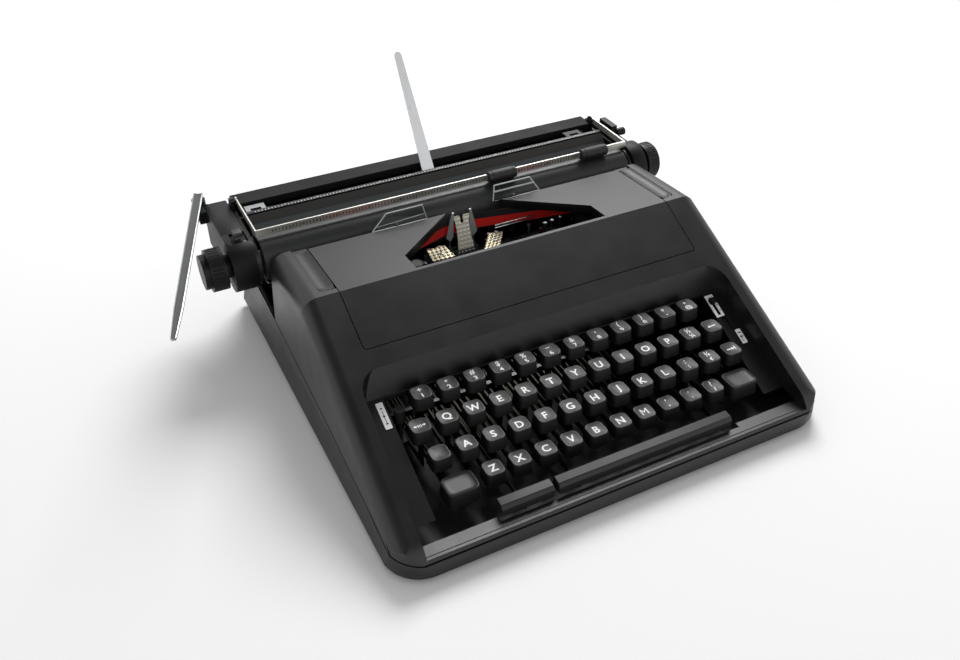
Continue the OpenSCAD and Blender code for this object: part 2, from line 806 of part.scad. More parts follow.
module housing_profile(r) {
  translate([platen_y, platen_z]) circle(r = r, $fn = 96);
  polygon([[platen_y, platen_z], [platen_y, platen_z + r], [126, top_z], [171, top_z - 2],
    [171, 66], [122, 66], [platen_y, platen_z - r]]);
}

module carriage_frame() {
  color(grey) difference() {
    union() {
      for (x = [[carr_l - 5.7, carr_l - 2.7], [carr_r + 0.9, carr_r + 2.9]]) along_x(x[0], x[1]) union() {
        translate([platen_y, platen_z]) circle(r = 17, $fn = 96);
        polygon([[platen_y, platen_z], [platen_y, 98], [168, 98], [168, 52], [120, 52], [100, 66]]);
      }
      box(carr_l - 2.7, carr_r + 0.9, 121, 168.6, 64, 66);
      box(carr_l - 2.7, carr_r + 0.9, 166.8, 168.6, 66, 89.2);
    }
    rod_x(-190, 190, platen_y, platen_z, 3.05);
    for (y = [128, 160]) rod_x(-190, 190, y, 57, rail_d / 2);
  }
  // Pins that the bail swings on.
  color(grey) for (x = [[carr_l - 5.7, carr_l - 2.7, carr_l + 0.4], [carr_r + 0.9, carr_r + 2, carr_r + 3.6]])
    union() {
      box(x[0], x[1], 154.5, 161.5, 97, bail_z + 1.5);
      rod_x(x[0], x[1], 158, bail_z, 3);
      rod_x(x[0], x[2], 158, bail_z, 1.14);
    }
}

module housing_left() {
  color(black) difference() {
    union() {
      along_x(carr_l - 23, carr_l - 6) housing_profile(19.5);
      box(lever_px - 4, carr_l - 22, 160, lever_py - 5, 90, 99.6);
      box(lever_px - 6.5, lever_px - 0.5, lever_py - 10.5, lever_py - 5, 90, 99.6);
      translate([lever_px, lever_py, 90]) cylinder(h = 12.6, r = 5);
      box(lever_px - 3, carr_l - 22, lever_py - 8, lever_py, 90, 99.6);
    }
    along_x(carr_l - 19.5, carr_l - 5) difference() {
      translate([0, 0]) housing_profile(16.5);
      box(0, 0.1, 0, 0.1, 0, 0.1);
    }
    rod_x(carr_l - 31, carr_l - 1, platen_y, platen_z, 4.2);
    box(carr_l - 18, carr_l - 7, 104.5, 118, 92, 110);
    translate([lever_px, lever_py, 80]) cylinder(h = 40, r = 2);
  }
}

module housing_right() {
  color(black) difference() {
    union() {
      along_x(carr_r + 3.7, carr_r + 10.6) housing_profile(19.5);
      rod_x(carr_r + 10, carr_r + 16, platen_y, platen_z, 19.5);
    }
    along_x(carr_r + 2, carr_r + 8.2) housing_profile(16.8);
    rod_x(carr_r, carr_r + 20, platen_y, platen_z, 4.2);
  }
}

module rear_cover() {
  color(black) difference() {
    union() {
      box(carr_l - 2.5, carr_r + 0.7, 155.4, 171.8, 100, top_z);
      box(carr_l - 2.5, carr_r + 0.7, 170, 171.8, 60, top_z);
      box(carr_l - 2.5, carr_r + 0.7, 155.4, 156.4, 97, top_z + 0.5);
      box(arm_x - 7, arm_x + 7, 149.5, 156, 90.5, 96.5);
      translate([arm_x, arm_base_y, arm_base_z]) rotate([-arm_a, 0, 0]) translate([0, 0, -2])
        rotate([-90, 0, 0]) translate([0, 0, 1.6]) cylinder(h = 9.5, r = 2.4);
      box(carr_l - 2.5, carr_r + 0.7, 142.8, 170.5, 89.5, 91);
    }
    for (x = [[carr_l - 5, carr_l + 1.5], [carr_r - 0.6, carr_r + 6]])
      box(x[0], x[1], 150, 163, 95, 110);
  }
}

module paper_table() {
  color([0.3, 0.29, 0.28]) difference() {
    along_x(carr_l + 1, carr_r - 1) union() {
      polygon([[136.3, 102], [132.6, 98.4], [126, 90.4], [126.9, 89.7], [133.4, 97.6], [137, 101.3]]);
      difference() {
        translate([platen_y, platen_z]) circle(r = 19.4, $fn = 96);
        translate([platen_y, platen_z]) circle(r = 18.4, $fn = 96);
        polygon([[platen_y, platen_z], [130, platen_z + 9.6], [130, 130], [60, 130], [60, 60], [94, 60]]);
      }
    }
    for (x = [carr_l + 39:60:carr_r - 30]) translate([x, platen_y, platen_z - 22])
      cylinder(h = 6, r = 7);
  }
  color(grey) for (x = [carr_l + 19:40:carr_r - 10]) box(x - 2, x + 2, 118, 124, 66, 69.2);
}

module margin_scale() {
  color(grey) {
    box(carr_l + 0.8, carr_r + 0.6, 139, 142.6, 99.6, top_z);
    box(carr_l + 0.8, carr_r + 0.6, 139, 140.4, 91.2, 100);
    box(carr_l - 2.6, carr_r + 0.8, 147, 149, 91.4, 95);
  }
}

module margin_stop(x) {
  color(grey) difference() {
    box(x - 7.5, x + 7.5, 144, 152.5, 91.4, 101);
    box(x - 8, x + 8, 146.9, 149.1, 91, 95.1);
    box(x - 8, x + 8, 143, 147, 91, 96);
    box(x - 4, x + 4, 143, 147.5, 97.5, 102);
  }
}

module margin_stop_left() {
  margin_stop(carr_l + 10.5);
}

module margin_stop_right() {
  margin_stop(carr_r - 22);
}

module platen() {
  color([0.12, 0.12, 0.12]) difference() {
    rod_x(carr_l, carr_r, platen_y, platen_z, platen_r);
    rod_x(carr_l - 1, carr_r + 1, platen_y, platen_z, 3);
  }
}

module platen_shaft() {
  color(steel) rod_x(carr_l - 34, carr_r + 28.5, platen_y, platen_z, 3);
}

module knob(x0, dir) {
  // dir points away from the carriage; x0 is the inner face of the drum.
  translate([x0, platen_y, platen_z]) rotate([0, dir * 90, 0]) difference() {
    union() {
      cylinder(h = dir < 0 ? 11.5 : 10, r = knob_r);
      if (dir < 0) cylinder(h = 16, r = 12.7);
      if (dir > 0) cylinder(h = 11.5, r = knob_r - 1.5);
      translate([0, 0, -3.2]) cylinder(h = 4, r = 8.5);
    }
    translate([0, 0, -5]) cylinder(h = 13, r = 3);
    for (a = [0:10:350]) rotate([0, 0, a]) translate([knob_r + 0.35, 0, 2.2]) cylinder(h = 8, r = 0.8, $fn = 16);
  }
}

module platen_knobs() {
  color(black) {
    knob(carr_l - 26.5, -1);
    knob(carr_r + 21, 1);
  }
}

module return_lever() {
  l = lever_len - lever_tip_r;
  color(steel) translate([lever_px, lever_py, 0]) rotate([0, 0, -lever_a]) difference() {
    union() {
      translate([0, 0, 103]) linear_extrude(1.7) {
        polygon([[-3.6, 6], [3.6, 6], [3.1, -l + 30], [lever_tip_r, -l], [-lever_tip_r, -l],
          [-3.1, -l + 30]]);
        translate([0, -l]) circle(r = lever_tip_r);
      }
      translate([0, 0, 88]) cylinder(h = 17, r = 1.94);
      translate([0, 0, 86.6]) cylinder(h = 2.2, r = 4);
    }
    // Groove down the middle of the upper face.
    box(-0.5, 0.5, -l + 24, -12, 104.3, 106);
  }
}

module line_space_lever() {
  color(grey) union() {
    rod_x(carr_l - 19.3, carr_l - 6.2, 111, 89, 1.9);
    box(carr_l - 13.5, carr_l - 11.5, 109.4, 112.6, 88, 103);
    box(carr_l - 15, carr_l - 10, 107.8, 114.2, 102.6, 104.6);
  }
}

module paper_bail() {
  z0 = 101.2;
  color(steel) difference() {
    union() {
      box(carr_l - 1, carr_r + 3.3, 106.6, 107.6, z0, z0 + 5.2);
      for (x = [carr_l - 1, carr_r + 2.3]) {
        box(x, x + 1, 106.6, 152, z0, z0 + 5.2);
        box(x, x + 1, 150, 158, bail_z - 1.9, z0 + 5.2);
        rod_x(x, x + 1, 158, bail_z, 2.6);
      }
    }
    rod_x(carr_l - 11, carr_r + 20, 158, bail_z, 1.2);
  }
}

module bail_rollers() {
  color(black) for (x = [37, 121.5]) difference() {
    rod_x(x - 12, x + 12, 105.9, 104.2, 4.75);
    box(x - 13, x + 13, 106.55, 107.65, 101.1, 106.5);
  }
}

module paper_support() {
  u = arm_a;
  color(steel) translate([arm_x, arm_base_y, arm_base_z]) rotate([-u, 0, 0]) difference() {
    union() {
      rotate([90, 0, 0]) translate([0, 0, -arm_t / 2]) linear_extrude(arm_t) {
        polygon([[-5.3, -2], [5.3, -2], [3.2, arm_len - 3.2], [-3.2, arm_len - 3.2]]);
        translate([0, arm_len - 3.2]) circle(r = 3.2);
        translate([0, -2]) circle(r = 5.3);
      }
      rotate([90, 0, 0]) translate([0, 0, -1.4]) translate([0, -2, 0]) cylinder(h = 3.4, r = 2.6);
    }
    box(20, 21, 0, 1, 0, 1);
  }
}

module carriage_release() {
  color(black) union() {
    box(carr_r + 12, carr_r + 17.5, 139.5, 158.5, 97.5, 103.4);
    box(carr_r + 11.2, carr_r + 15, 142, 150, 84, 98);
    rod_x(carr_r + 10.9, carr_r + 15, 146, 86, 4.5);
  }
}

module paper_release() {
  color(black) union() {
    rod_x(carr_r + 10.9, carr_r + 14, 131.4, 92, 3.3);
    box(carr_r + 11.2, carr_r + 13.6, 129.6, 133.2, 92, 102);
    rod_x(carr_r + 11.2, carr_r + 18.5, 131.4, 102, 3.3);
  }
}

placed() base_pan();
placed() rubber_feet();
placed() pan_screws();
placed() lower_housing();
placed() upper_shell();
placed() side_frames();
placed() cross_members();
placed() fulcrum_rod();
placed() type_guide();
placed() gauge_plates();
placed() card_holders();
placed() type_rest();
placed() spool_cups();
placed() ribbon();
placed() deck_labels();
placed() ribbon_cover();
placed() keys_row1();
placed() levers_row1();
placed() keys_row2();
placed() levers_row2();
placed() keys_row3();
placed() levers_row3();
placed() keys_row4();
placed() levers_row4();
placed() key_h();
placed() lever_key_h();
placed() space_bar();
placed() repeat_bar();
placed() shift_keys();
placed() shift_lock_key();
placed() margin_release_key();
placed() backspace_key();
placed() tab_key();
placed() tab_set_button();
placed() ribbon_selector();
placed() type_segment();
placed() typebars();
placed() typebar_h();
placed() ribbon_vibrator();
placed() spool(-97);  // spool_left
placed() spool(97);  // spool_right
placed() carriage_frame();
placed() carriage_rails();
placed() housing_left();
placed() housing_right();
placed() rear_cover();
placed() paper_table();
placed() margin_scale();
placed() margin_stop_left();
placed() margin_stop_right();
placed() platen();
placed() platen_shaft();
placed() platen_knobs();
placed() return_lever();
placed() line_space_lever();
placed() paper_bail();
placed() bail_rollers();
placed() paper_support();
placed() carriage_release();
placed() paper_release();
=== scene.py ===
"""Finishes and fine detail of a manual typewriter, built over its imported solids.

Sizes in the classes are millimetres on the axes of the drawing: X runs along the platen,
Y runs from the keyboard to the rear and Z is the height above the table. The function
to_frame carries them to the shared frame in metres.
"""

import logging
import math
from dataclasses import dataclass
from enum import Enum
from typing import Any, Optional, Sequence

import bmesh
import bpy
import numpy as np
from mathutils import Matrix


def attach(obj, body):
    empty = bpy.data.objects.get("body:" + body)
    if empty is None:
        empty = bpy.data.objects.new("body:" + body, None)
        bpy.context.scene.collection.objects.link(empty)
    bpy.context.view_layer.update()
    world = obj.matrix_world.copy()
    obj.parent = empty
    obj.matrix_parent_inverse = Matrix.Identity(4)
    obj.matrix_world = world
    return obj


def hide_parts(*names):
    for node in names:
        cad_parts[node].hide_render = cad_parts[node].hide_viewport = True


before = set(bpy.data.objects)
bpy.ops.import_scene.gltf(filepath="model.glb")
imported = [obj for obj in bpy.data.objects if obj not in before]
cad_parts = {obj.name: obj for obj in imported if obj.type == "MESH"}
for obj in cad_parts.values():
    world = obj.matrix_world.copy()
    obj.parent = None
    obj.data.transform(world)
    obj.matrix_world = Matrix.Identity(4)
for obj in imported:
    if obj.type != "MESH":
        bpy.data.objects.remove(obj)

LOG = logging.getLogger("typewriter")
MM = 0.001
# Offset from the drawing's origin to the middle of the object's box.
SHIFT = np.array([28.8116, -26.1835, 0.0])
Array = np.ndarray
Floats = Sequence[float]
Faces = list[list[int]]


def to_frame(points: Array) -> Array:
    """Carries drawing points in millimetres to frame points in metres.

    Args:
        points: Any array whose last axis is X, Y, Z.

    Returns:
        The same array, shifted and scaled.
    """
    return (points + SHIFT) * MM


def hex_colour(code: str) -> tuple[float, float, float, float]:
    """Turns an sRGB hex value into linear light.

    Args:
        code: Six hex digits, with or without a leading mark.

    Returns:
        Linear red, green, blue and an alpha of one.
    """
    raw = [int(code.lstrip("#")[i:i + 2], 16) / 255 for i in (0, 2, 4)]
    lin = [c / 12.92 if c <= 0.04045 else ((c + 0.055) / 1.055) ** 2.4 for c in raw]
    return lin[0], lin[1], lin[2], 1.0


def add(tree: bpy.types.NodeTree, kind: str, inputs: Optional[dict[Any, Any]] = None,
        **props: str) -> bpy.types.Node:
    """Adds one shader node with its settings and links.

    Args:
        tree: The node tree that gets it.
        kind: The node's type name without its first part.
        inputs: A value or another node's output for each input, by name or number.
        props: Its settings by attribute name.

    Returns:
        The new node.
    """
    made = tree.nodes.new(f"ShaderNode{kind}")
    for name, value in props.items():
        setattr(made, name, value)
    for name, value in (inputs or {}).items():
        if isinstance(value, bpy.types.NodeSocket):
            tree.links.new(value, made.inputs[name])
        else:
            made.inputs[name].default_value = value
    return made


def blank_tree(owner: bpy.types.ID) -> bpy.types.NodeTree:
    """Gives a new material or world an empty node tree.

    Args:
        owner: The material or world.

    Returns:
        Its node tree.
    """
    owner.use_nodes = True
    owner.node_tree.nodes.clear()
    return owner.node_tree


def new_object(name: str, data: Optional[bpy.types.ID]) -> bpy.types.Object:
    """Makes an object and links it to the scene.

    Args:
        name: Name of the object.
        data: Its mesh, curve, lamp or camera.

    Returns:
        The object.
    """
    made = bpy.data.objects.new(name, data)
    bpy.context.scene.collection.objects.link(made)
    return made


def axes_matrix(right: Floats, up: Floats, back: Floats, spot: Floats) -> Matrix:
    """Matrix whose columns are three axes and a place."""
    return Matrix([[right[i], up[i], back[i], spot[i]] for i in range(3)] + [[0, 0, 0, 1]])


class Grain(Enum):
    """How the surface of a finish was made."""

    MOULDED = "moulded"
    BRUSHED_X = "brushed along x"
    BRUSHED_Y = "brushed along y"
    RUBBED = "rubbed"
    WOVEN = "woven"


@dataclass(frozen=True)
class Finish:
    """A surface finish: two close colours, a range of roughness and one pattern.

    The pattern is read from Object coordinates. Its size is in millimetres, and its depth
    drives the bump.
    """

    # A brushed line is this many times as long as it is wide.
    LINE_RATIO = 60
    # Waves on one unit of the wave texture at a scale of one.
    WAVES_PER_UNIT = 3.18

    name: str
    colour: str
    accent: str
    rough_low: float
    rough_high: float
    grain: Grain
    grain_mm: float
    depth_mm: float
    metallic: float = 0.0
    ior: float = 1.5
    clear: float = 0.0
    sheen: float = 0.0

    def make(self) -> bpy.types.Material:
        """Builds the material, unless it was made before.

        Returns:
            The one material of this finish.
        """
        known = bpy.data.materials.get(self.name)
        if known:
            return known
        made = bpy.data.materials.new(self.name)
        tree = blank_tree(made)
        where = add(tree, "TexCoord").outputs["Object"]
        height = self.pattern(tree, where)
        broad = add(tree, "TexNoise",
                    {"Vector": where, "Scale": 38.0, "Detail": 3.0, "Roughness": 0.6})
        tone = add(tree, "Mix", {0: 0.35, 2: broad.outputs[0], 3: height},
                   data_type="FLOAT").outputs[0]
        colour = add(tree, "Mix", {0: tone, 6: hex_colour(self.colour), 7: hex_colour(self.accent)},
                     data_type="RGBA")
        rough = add(tree, "MapRange",
                    {0: tone, 1: 0.3, 2: 0.7, 3: self.rough_low, 4: self.rough_high})
        bump = add(tree, "Bump",
                   {"Height": height, "Strength": 1.0, "Distance": self.depth_mm * MM})
        shader = add(tree, "BsdfPrincipled", {
            "Base Color": colour.outputs[2], "Roughness": rough.outputs[0],
            "Metallic": self.metallic, "IOR": self.ior, "Transmission Weight": self.clear,
            "Sheen Weight": self.sheen, "Normal": bump.outputs[0]})
        add(tree, "OutputMaterial", {"Surface": shader.outputs[0]})
        return made

    def pattern(self, tree: bpy.types.NodeTree,
                where: bpy.types.NodeSocket) -> bpy.types.NodeSocket:
        """Adds the nodes of the grain.

        Args:
            tree: The material's node tree.
            where: The output that gives the place on the piece.

        Returns:
            The output that gives the height, from 0 to 1.
        """
        per_m = 1.0 / (self.grain_mm * MM)
        if self.grain in (Grain.BRUSHED_X, Grain.BRUSHED_Y):
            along = per_m / self.LINE_RATIO
            in_x = self.grain is Grain.BRUSHED_X
            scale = (along, per_m, per_m) if in_x else (per_m, along, along)
            turned_to = add(tree, "Mapping", {"Vector": where, "Scale": scale}).outputs[0]
            return add(tree, "TexNoise",
                       {"Vector": turned_to, "Scale": 1.0, "Detail": 2.0}).outputs[0]
        if self.grain is Grain.WOVEN:
            waves = []
            for turn in (0.0, -math.pi / 2):
                turned_to = add(tree, "Mapping", {"Vector": where, "Rotation": (0.0, turn, 0.0)})
                waves.append(add(tree, "TexWave", {
                    "Vector": turned_to.outputs[0], "Scale": per_m / self.WAVES_PER_UNIT,
                    "Distortion": 0.4, "Detail Scale": 2.0}, wave_profile="SIN").outputs[1])
            return add(tree, "Math", {0: waves[0], 1: waves[1]}, operation="MULTIPLY").outputs[0]
        detail = 2.0 if self.grain is Grain.MOULDED else 5.0
        return add(tree, "TexNoise", {
            "Vector": where, "Scale": per_m, "Detail": detail, "Roughness": 0.65}).outputs[0]


MOULDED, BRUSHED_X, BRUSHED_Y, RUBBED, WOVEN = Grain
# Black ABS, injection moulded against a spark eroded tool: a fine leathery grain that turns
# the gloss into a broad grey sheen.
SHELL_ABS = Finish("shell_black_abs", "#0e0f0f", "#151616", 0.33, 0.43, MOULDED, 0.55, 0.012,
                   ior=1.52)
COVER_ABS = Finish("cover_black_abs", "#101111", "#171818", 0.33, 0.43, MOULDED, 0.5, 0.012,
                   ior=1.5)
# The lower half and the end housings come from smoother tools.
HOUSING_ABS = Finish("housing_black_abs", "#090a0a", "#0f1010", 0.34, 0.46, MOULDED, 0.7, 0.01)
END_ABS = Finish("end_housing_black_abs", "#050505", "#0a0a0a", 0.42, 0.56, MOULDED, 0.7, 0.02,
                 ior=1.3)
# The rear cover has the coarsest grain of all and is the dullest.
REAR_ABS = Finish("rear_cover_black_abs", "#090a0a", "#101111", 0.6, 0.72, RUBBED, 0.9, 0.05,
                  ior=1.3)
# Double shot key caps: tight grain, worn a little smoother by fingers.
KEY_ABS = Finish("key_black_abs", "#191a1a", "#212222", 0.38, 0.48, MOULDED, 0.45, 0.012, ior=1.44)
# The skirts of the caps keep the rough, dull surface of the mould; their darker colour is painted
# shade, since the skirts face away from the light.
KEY_SKIRT_SHADE = Finish("key_skirt_painted_shade", "#080808", "#0d0d0d", 0.5, 0.62, MOULDED, 0.45, 0.012,
                   ior=1.4)
# The small buttons are a little greyer than the caps.
BUTTON_ABS = Finish("button_grey_abs", "#2b2d2d", "#353737", 0.36, 0.48, MOULDED, 0.5, 0.01)
KEY_INK = Finish("key_white_filling", "#e9e9e6", "#f4f4f2", 0.4, 0.5, MOULDED, 0.3, 0.004)
TRIM_ABS = Finish("trim_black_abs", "#060606", "#0c0c0c", 0.36, 0.48, MOULDED, 0.6, 0.01, ior=1.36)
# Black stoved enamel on pressed steel: slight orange peel about 1.5 mm across.
ENAMEL = Finish("black_stoved_enamel", "#0d0d0d", "#151515", 0.3, 0.45, MOULDED, 1.5, 0.01)
PAN_ENAMEL = Finish("pan_black_enamel", "#101010", "#191919", 0.45, 0.6, MOULDED, 1.2, 0.02)
# Key levers are blanked from strip, oiled and browned, with drawing lines along them.
BROWNED = Finish("browned_lever_steel", "#1b1914", "#302c23", 0.38, 0.52, BRUSHED_Y, 0.3, 0.01, 0.8)
ZINC = Finish("zinc_plated_steel", "#8f9294", "#a9acad", 0.28, 0.42, MOULDED, 0.8, 0.008, 1.0)
PASSIVATED = Finish("yellow_passivated_zinc", "#d8cfa6", "#efe8c8", 0.3, 0.45, MOULDED, 0.8, 0.01,
                    0.5)
BAR_STEEL = Finish("ground_bar_steel", "#77797b", "#97999b", 0.25, 0.4, BRUSHED_Y, 0.25, 0.006, 1.0)
# Satin chrome on the carriage return lever, polished along its length.
LEVER_CHROME = Finish("lever_satin_chrome", "#9a9c9c", "#b4b6b6", 0.26, 0.38, BRUSHED_Y, 0.3, 0.006,
                      1.0)
# The shallow channel down the lever is left with a dull grey lacquer.
LEVER_CHANNEL = Finish("lever_channel_lacquer", "#4b4c4c", "#626464", 0.34, 0.5, BRUSHED_Y, 0.6,
                       0.02, 0.7)
ARM_STEEL = Finish("arm_brushed_steel", "#e4e6e8", "#f6f8fa", 0.24, 0.36, BRUSHED_Y, 0.25, 0.006,
                   0.6)
NICKEL = Finish("bail_nickel", "#d3d1ca", "#e8e6df", 0.3, 0.42, BRUSHED_X, 0.25, 0.005, 0.85)
# The two plates beside the type guide are nickel silver, darkened as painted shade against the
# lamp's reflection on them.
EMBOSSED = Finish("embossed_nickel_silver", "#6d6655", "#8e8673", 0.3, 0.42, MOULDED, 1.2, 0.01,
                  0.9)
# The type guide is the same nickel silver, lifted near white as painted light to make up for the
# shade it stands in.
GUIDE_SILVER_PAINTED_LIGHT = Finish("guide_silver_painted_light", "#f4ecd6", "#fffbee", 0.24, 0.34, MOULDED, 1.2, 0.01,
                      0.15)
PLATEN_RUBBER = Finish("platen_ground_rubber", "#1a1b1b", "#252727", 0.36, 0.5, BRUSHED_Y, 0.9,
                       0.01)
ROLLER_RUBBER = Finish("roller_rubber", "#151515", "#202020", 0.5, 0.62, RUBBED, 1.0, 0.02)
FOOT_RUBBER = Finish("foot_rubber", "#171717", "#232323", 0.7, 0.85, RUBBED, 1.0, 0.03)
SCALE_BLACK = Finish("scale_black_anodised", "#1a1b1c", "#242627", 0.35, 0.5, BRUSHED_X, 0.3, 0.005,
                     0.3)
SCALE_INK = Finish("scale_white_print", "#d8d9d6", "#e6e6e3", 0.5, 0.6, MOULDED, 0.4, 0.003)
BAIL_INK = Finish("scale_black_print", "#131313", "#1e1e1e", 0.5, 0.6, MOULDED, 0.4, 0.003)
TABLE_PAINT = Finish("paper_table_grey_paint", "#3b4042", "#474c4f", 0.36, 0.5, BRUSHED_X, 0.5,
                     0.008, 0.1)
TABLE_EDGE = Finish("paper_table_brown_edge", "#181614", "#24211e", 0.5, 0.62, BRUSHED_X, 0.5, 0.01)
RIBBON_RED = Finish("inked_cloth_red", "#f2180e", "#ff2a1c", 0.7, 0.85, WOVEN, 0.8, 0.05,
                    sheen=0.15)
RIBBON_BLACK = Finish("inked_cloth_black", "#0d0c0c", "#171616", 0.7, 0.85, WOVEN, 0.8, 0.05,
                      sheen=0.15)
FELT = Finish("rest_red_felt", "#3d0f0f", "#541818", 0.85, 0.95, RUBBED, 1.2, 0.15, sheen=0.3)
CLEAR = Finish("card_holder_clear_acrylic", "#f1f4f5", "#ffffff", 0.03, 0.08, MOULDED, 6.0, 0.01,
               ior=1.49, clear=1.0)
PAPER = Finish("label_coated_paper", "#f4f4f1", "#fcfcfa", 0.5, 0.62, RUBBED, 0.6, 0.006)
# Cut edges of clear acrylic gather light and look almost white.
ACRYLIC_EDGE = Finish("polished_acrylic_edge", "#b9bdbf", "#dfe3e5", 0.12, 0.22, MOULDED, 4.0,
                      0.004, ior=1.49)
WING_ZINC = Finish("vibrator_bright_zinc", "#b9bdbf", "#d6d9da", 0.34, 0.46, MOULDED, 0.8, 0.008,
                   0.3)
SPOOL = Finish("spool_dark_tinplate", "#0f0f0f", "#181817", 0.5, 0.55, MOULDED, 1.2, 0.01, 0.5)

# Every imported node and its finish.
NODE_FINISH: dict[str, Finish] = {name: finish for finish, names in (
    (KEY_ABS, "keys_row1 keys_row2 keys_row3 keys_row4 key_h space_bar repeat_bar shift_keys"),
    (KEY_ABS, "shift_lock_key margin_release_key backspace_key tab_key"),
    (BROWNED, "levers_row1 levers_row2 levers_row3 levers_row4 lever_key_h"),
    (ENAMEL, "side_frames cross_members spool_cups carriage_frame"),
    (ZINC, "pan_screws fulcrum_rod ribbon_vibrator carriage_rails margin_stop_left platen_shaft"),
    (ZINC, "line_space_lever"), (BAR_STEEL, "type_segment typebars typebar_h"),
    (TRIM_ABS, "ribbon_selector margin_stop_right platen_knobs carriage_release paper_release"),
    (END_ABS, "housing_left housing_right"), (SPOOL, "spool_left spool_right"),
    (PAN_ENAMEL, "base_pan"), (FOOT_RUBBER, "rubber_feet"), (HOUSING_ABS, "lower_housing"),
    (SHELL_ABS, "upper_shell"), (COVER_ABS, "ribbon_cover"), (REAR_ABS, "rear_cover"),
    (GUIDE_SILVER_PAINTED_LIGHT, "type_guide"), (EMBOSSED, "gauge_plates"), (CLEAR, "card_holders"),
    (FELT, "type_rest"), (RIBBON_RED, "ribbon"), (PAPER, "deck_labels"),
    (BUTTON_ABS, "tab_set_button"), (TABLE_PAINT, "paper_table"), (SCALE_BLACK, "margin_scale"),
    (PLATEN_RUBBER, "platen"), (LEVER_CHROME, "return_lever"), (NICKEL, "paper_bail"),
    (ROLLER_RUBBER, "bail_rollers"), (ARM_STEEL, "paper_support")) for name in names.split()}


def round_rect(half_x: Array, half_y: Array, radius: Array, per_corner: int = 6) -> Array:
    """Rings of a rectangle with round corners, one ring for each entry of the sizes.

    A point of corner c at angle a is the corner's centre plus the radius times
    (cos a, sin a); the centre lies one radius inside both half sizes.

    Args:
        half_x: Half sizes along X.
        half_y: Half sizes along Y.
        radius: Corner radii.
        per_corner: Points on each corner.

    Returns:
        An array of rings, points, X and Y.
    """
    hx, hy, r = (np.atleast_1d(np.asarray(v, float))[:, None] for v in (half_x, half_y, radius))
    corner = np.repeat(np.arange(4), per_corner)[None, :]
    angle = (corner * 0.5 + np.tile(np.linspace(0, 0.5, per_corner), 4)[None, :]) * np.pi
    sx = np.where((corner == 0) | (corner == 3), 1.0, -1.0)
    sy = np.where(corner < 2, 1.0, -1.0)
    x = sx * (hx - r) + r * np.cos(angle)
    y = sy * (hy - r) + r * np.sin(angle)
    return np.stack([x, y], -1)


def soft_block(low: Floats, high: Floats, radius: float, steps: int = 4) -> Array:
    """Rings of a block whose edges are all rounded.

    A ring at angle a from the bottom face is inset by r(1 - sin a) and raised by
    r(1 - cos a), and the top mirrors it.

    Args:
        low: Lowest corner.
        high: Highest corner.
        radius: Radius of every edge.
        steps: Rings on each rounded edge.

    Returns:
        A stack of rings from the bottom to the top.
    """
    lo, hi = np.asarray(low, float), np.asarray(high, float)
    angle = np.linspace(0, np.pi / 2, steps)
    inset = radius * (1 - np.sin(angle))
    rise = radius * (1 - np.cos(angle))
    inset = np.concatenate([inset, inset[::-1]])
    z = np.concatenate([lo[2] + rise, hi[2] - rise[::-1]])
    half = (hi - lo) / 2
    ring = round_rect(half[0] - inset, half[1] - inset, np.maximum(radius - inset, 0.02), 4)
    mid = (hi + lo) / 2
    return np.dstack([ring + mid[:2], np.broadcast_to(z[:, None], ring.shape[:2])])


def along_x(places: Array, section: Array) -> Array:
    """Rings that stand at places along X; the section holds the Y and Z of each ring."""
    return np.dstack([np.broadcast_to(places[:, None], section.shape[:2]), section])


def on_slope(x: Array, along: Array, out: Array, foot: Floats, angle: float) -> Array:
    """Points over a slope that climbs to the rear at an angle.

    A point lies (cos, sin) times its distance along the slope from the foot, plus
    (-sin, cos) times its height out of the slope, in Y and Z.

    Args:
        x: Places along X.
        along: Distances along the slope.
        out: Heights out of the slope.
        foot: Y and Z where both are nought.
        angle: Angle of the slope.

    Returns:
        An array of points, in the common shape of the first three arguments.
    """
    y = foot[0] + along * math.cos(angle) - out * math.sin(angle)
    z = foot[1] + along * math.sin(angle) + out * math.cos(angle)
    return np.stack(np.broadcast_arrays(x, y, z), -1)


def turned(profile: Sequence[Floats], centre: Floats, axis: int, sides: int = 48) -> Array:
    """Rings of a turned form.

    The profile gives a place along the axis and a radius; a point at angle a lies that
    radius times (cos a, sin a) off the axis.

    Args:
        profile: Pairs of place and radius.
        centre: The two other coordinates of the axis, with anything in the axis place.
        axis: 0, 1 or 2 for X, Y or Z.
        sides: Points round the form.

    Returns:
        A stack of rings along the axis.
    """
    form = np.asarray(profile, float)
    angle = np.linspace(0, 2 * np.pi, sides, endpoint=False)
    ring = np.zeros((len(form), sides, 3))
    u, v = (axis + 1) % 3, (axis + 2) % 3
    ring[..., axis] = form[:, :1]
    ring[..., u] = centre[u] + form[:, 1:] * np.cos(angle)
    ring[..., v] = centre[v] + form[:, 1:] * np.sin(angle)
    return ring


def prism(outline: Array, axis: int, low: float, high: float) -> Array:
    """Two rings that carry a flat outline from one place to another along an axis.

    Args:
        outline: Points in the two other axes, in the order of the axes that follow.
        axis: 0, 1 or 2 for X, Y or Z.
        low: First place along the axis.
        high: Second place along the axis.

    Returns:
        A stack of two rings.
    """
    flat = np.asarray(outline, float)
    ring = np.zeros((2, len(flat), 3))
    ring[..., axis] = np.array([[low], [high]])
    ring[..., (axis + 1) % 3] = flat[:, 0]
    ring[..., (axis + 2) % 3] = flat[:, 1]
    return ring


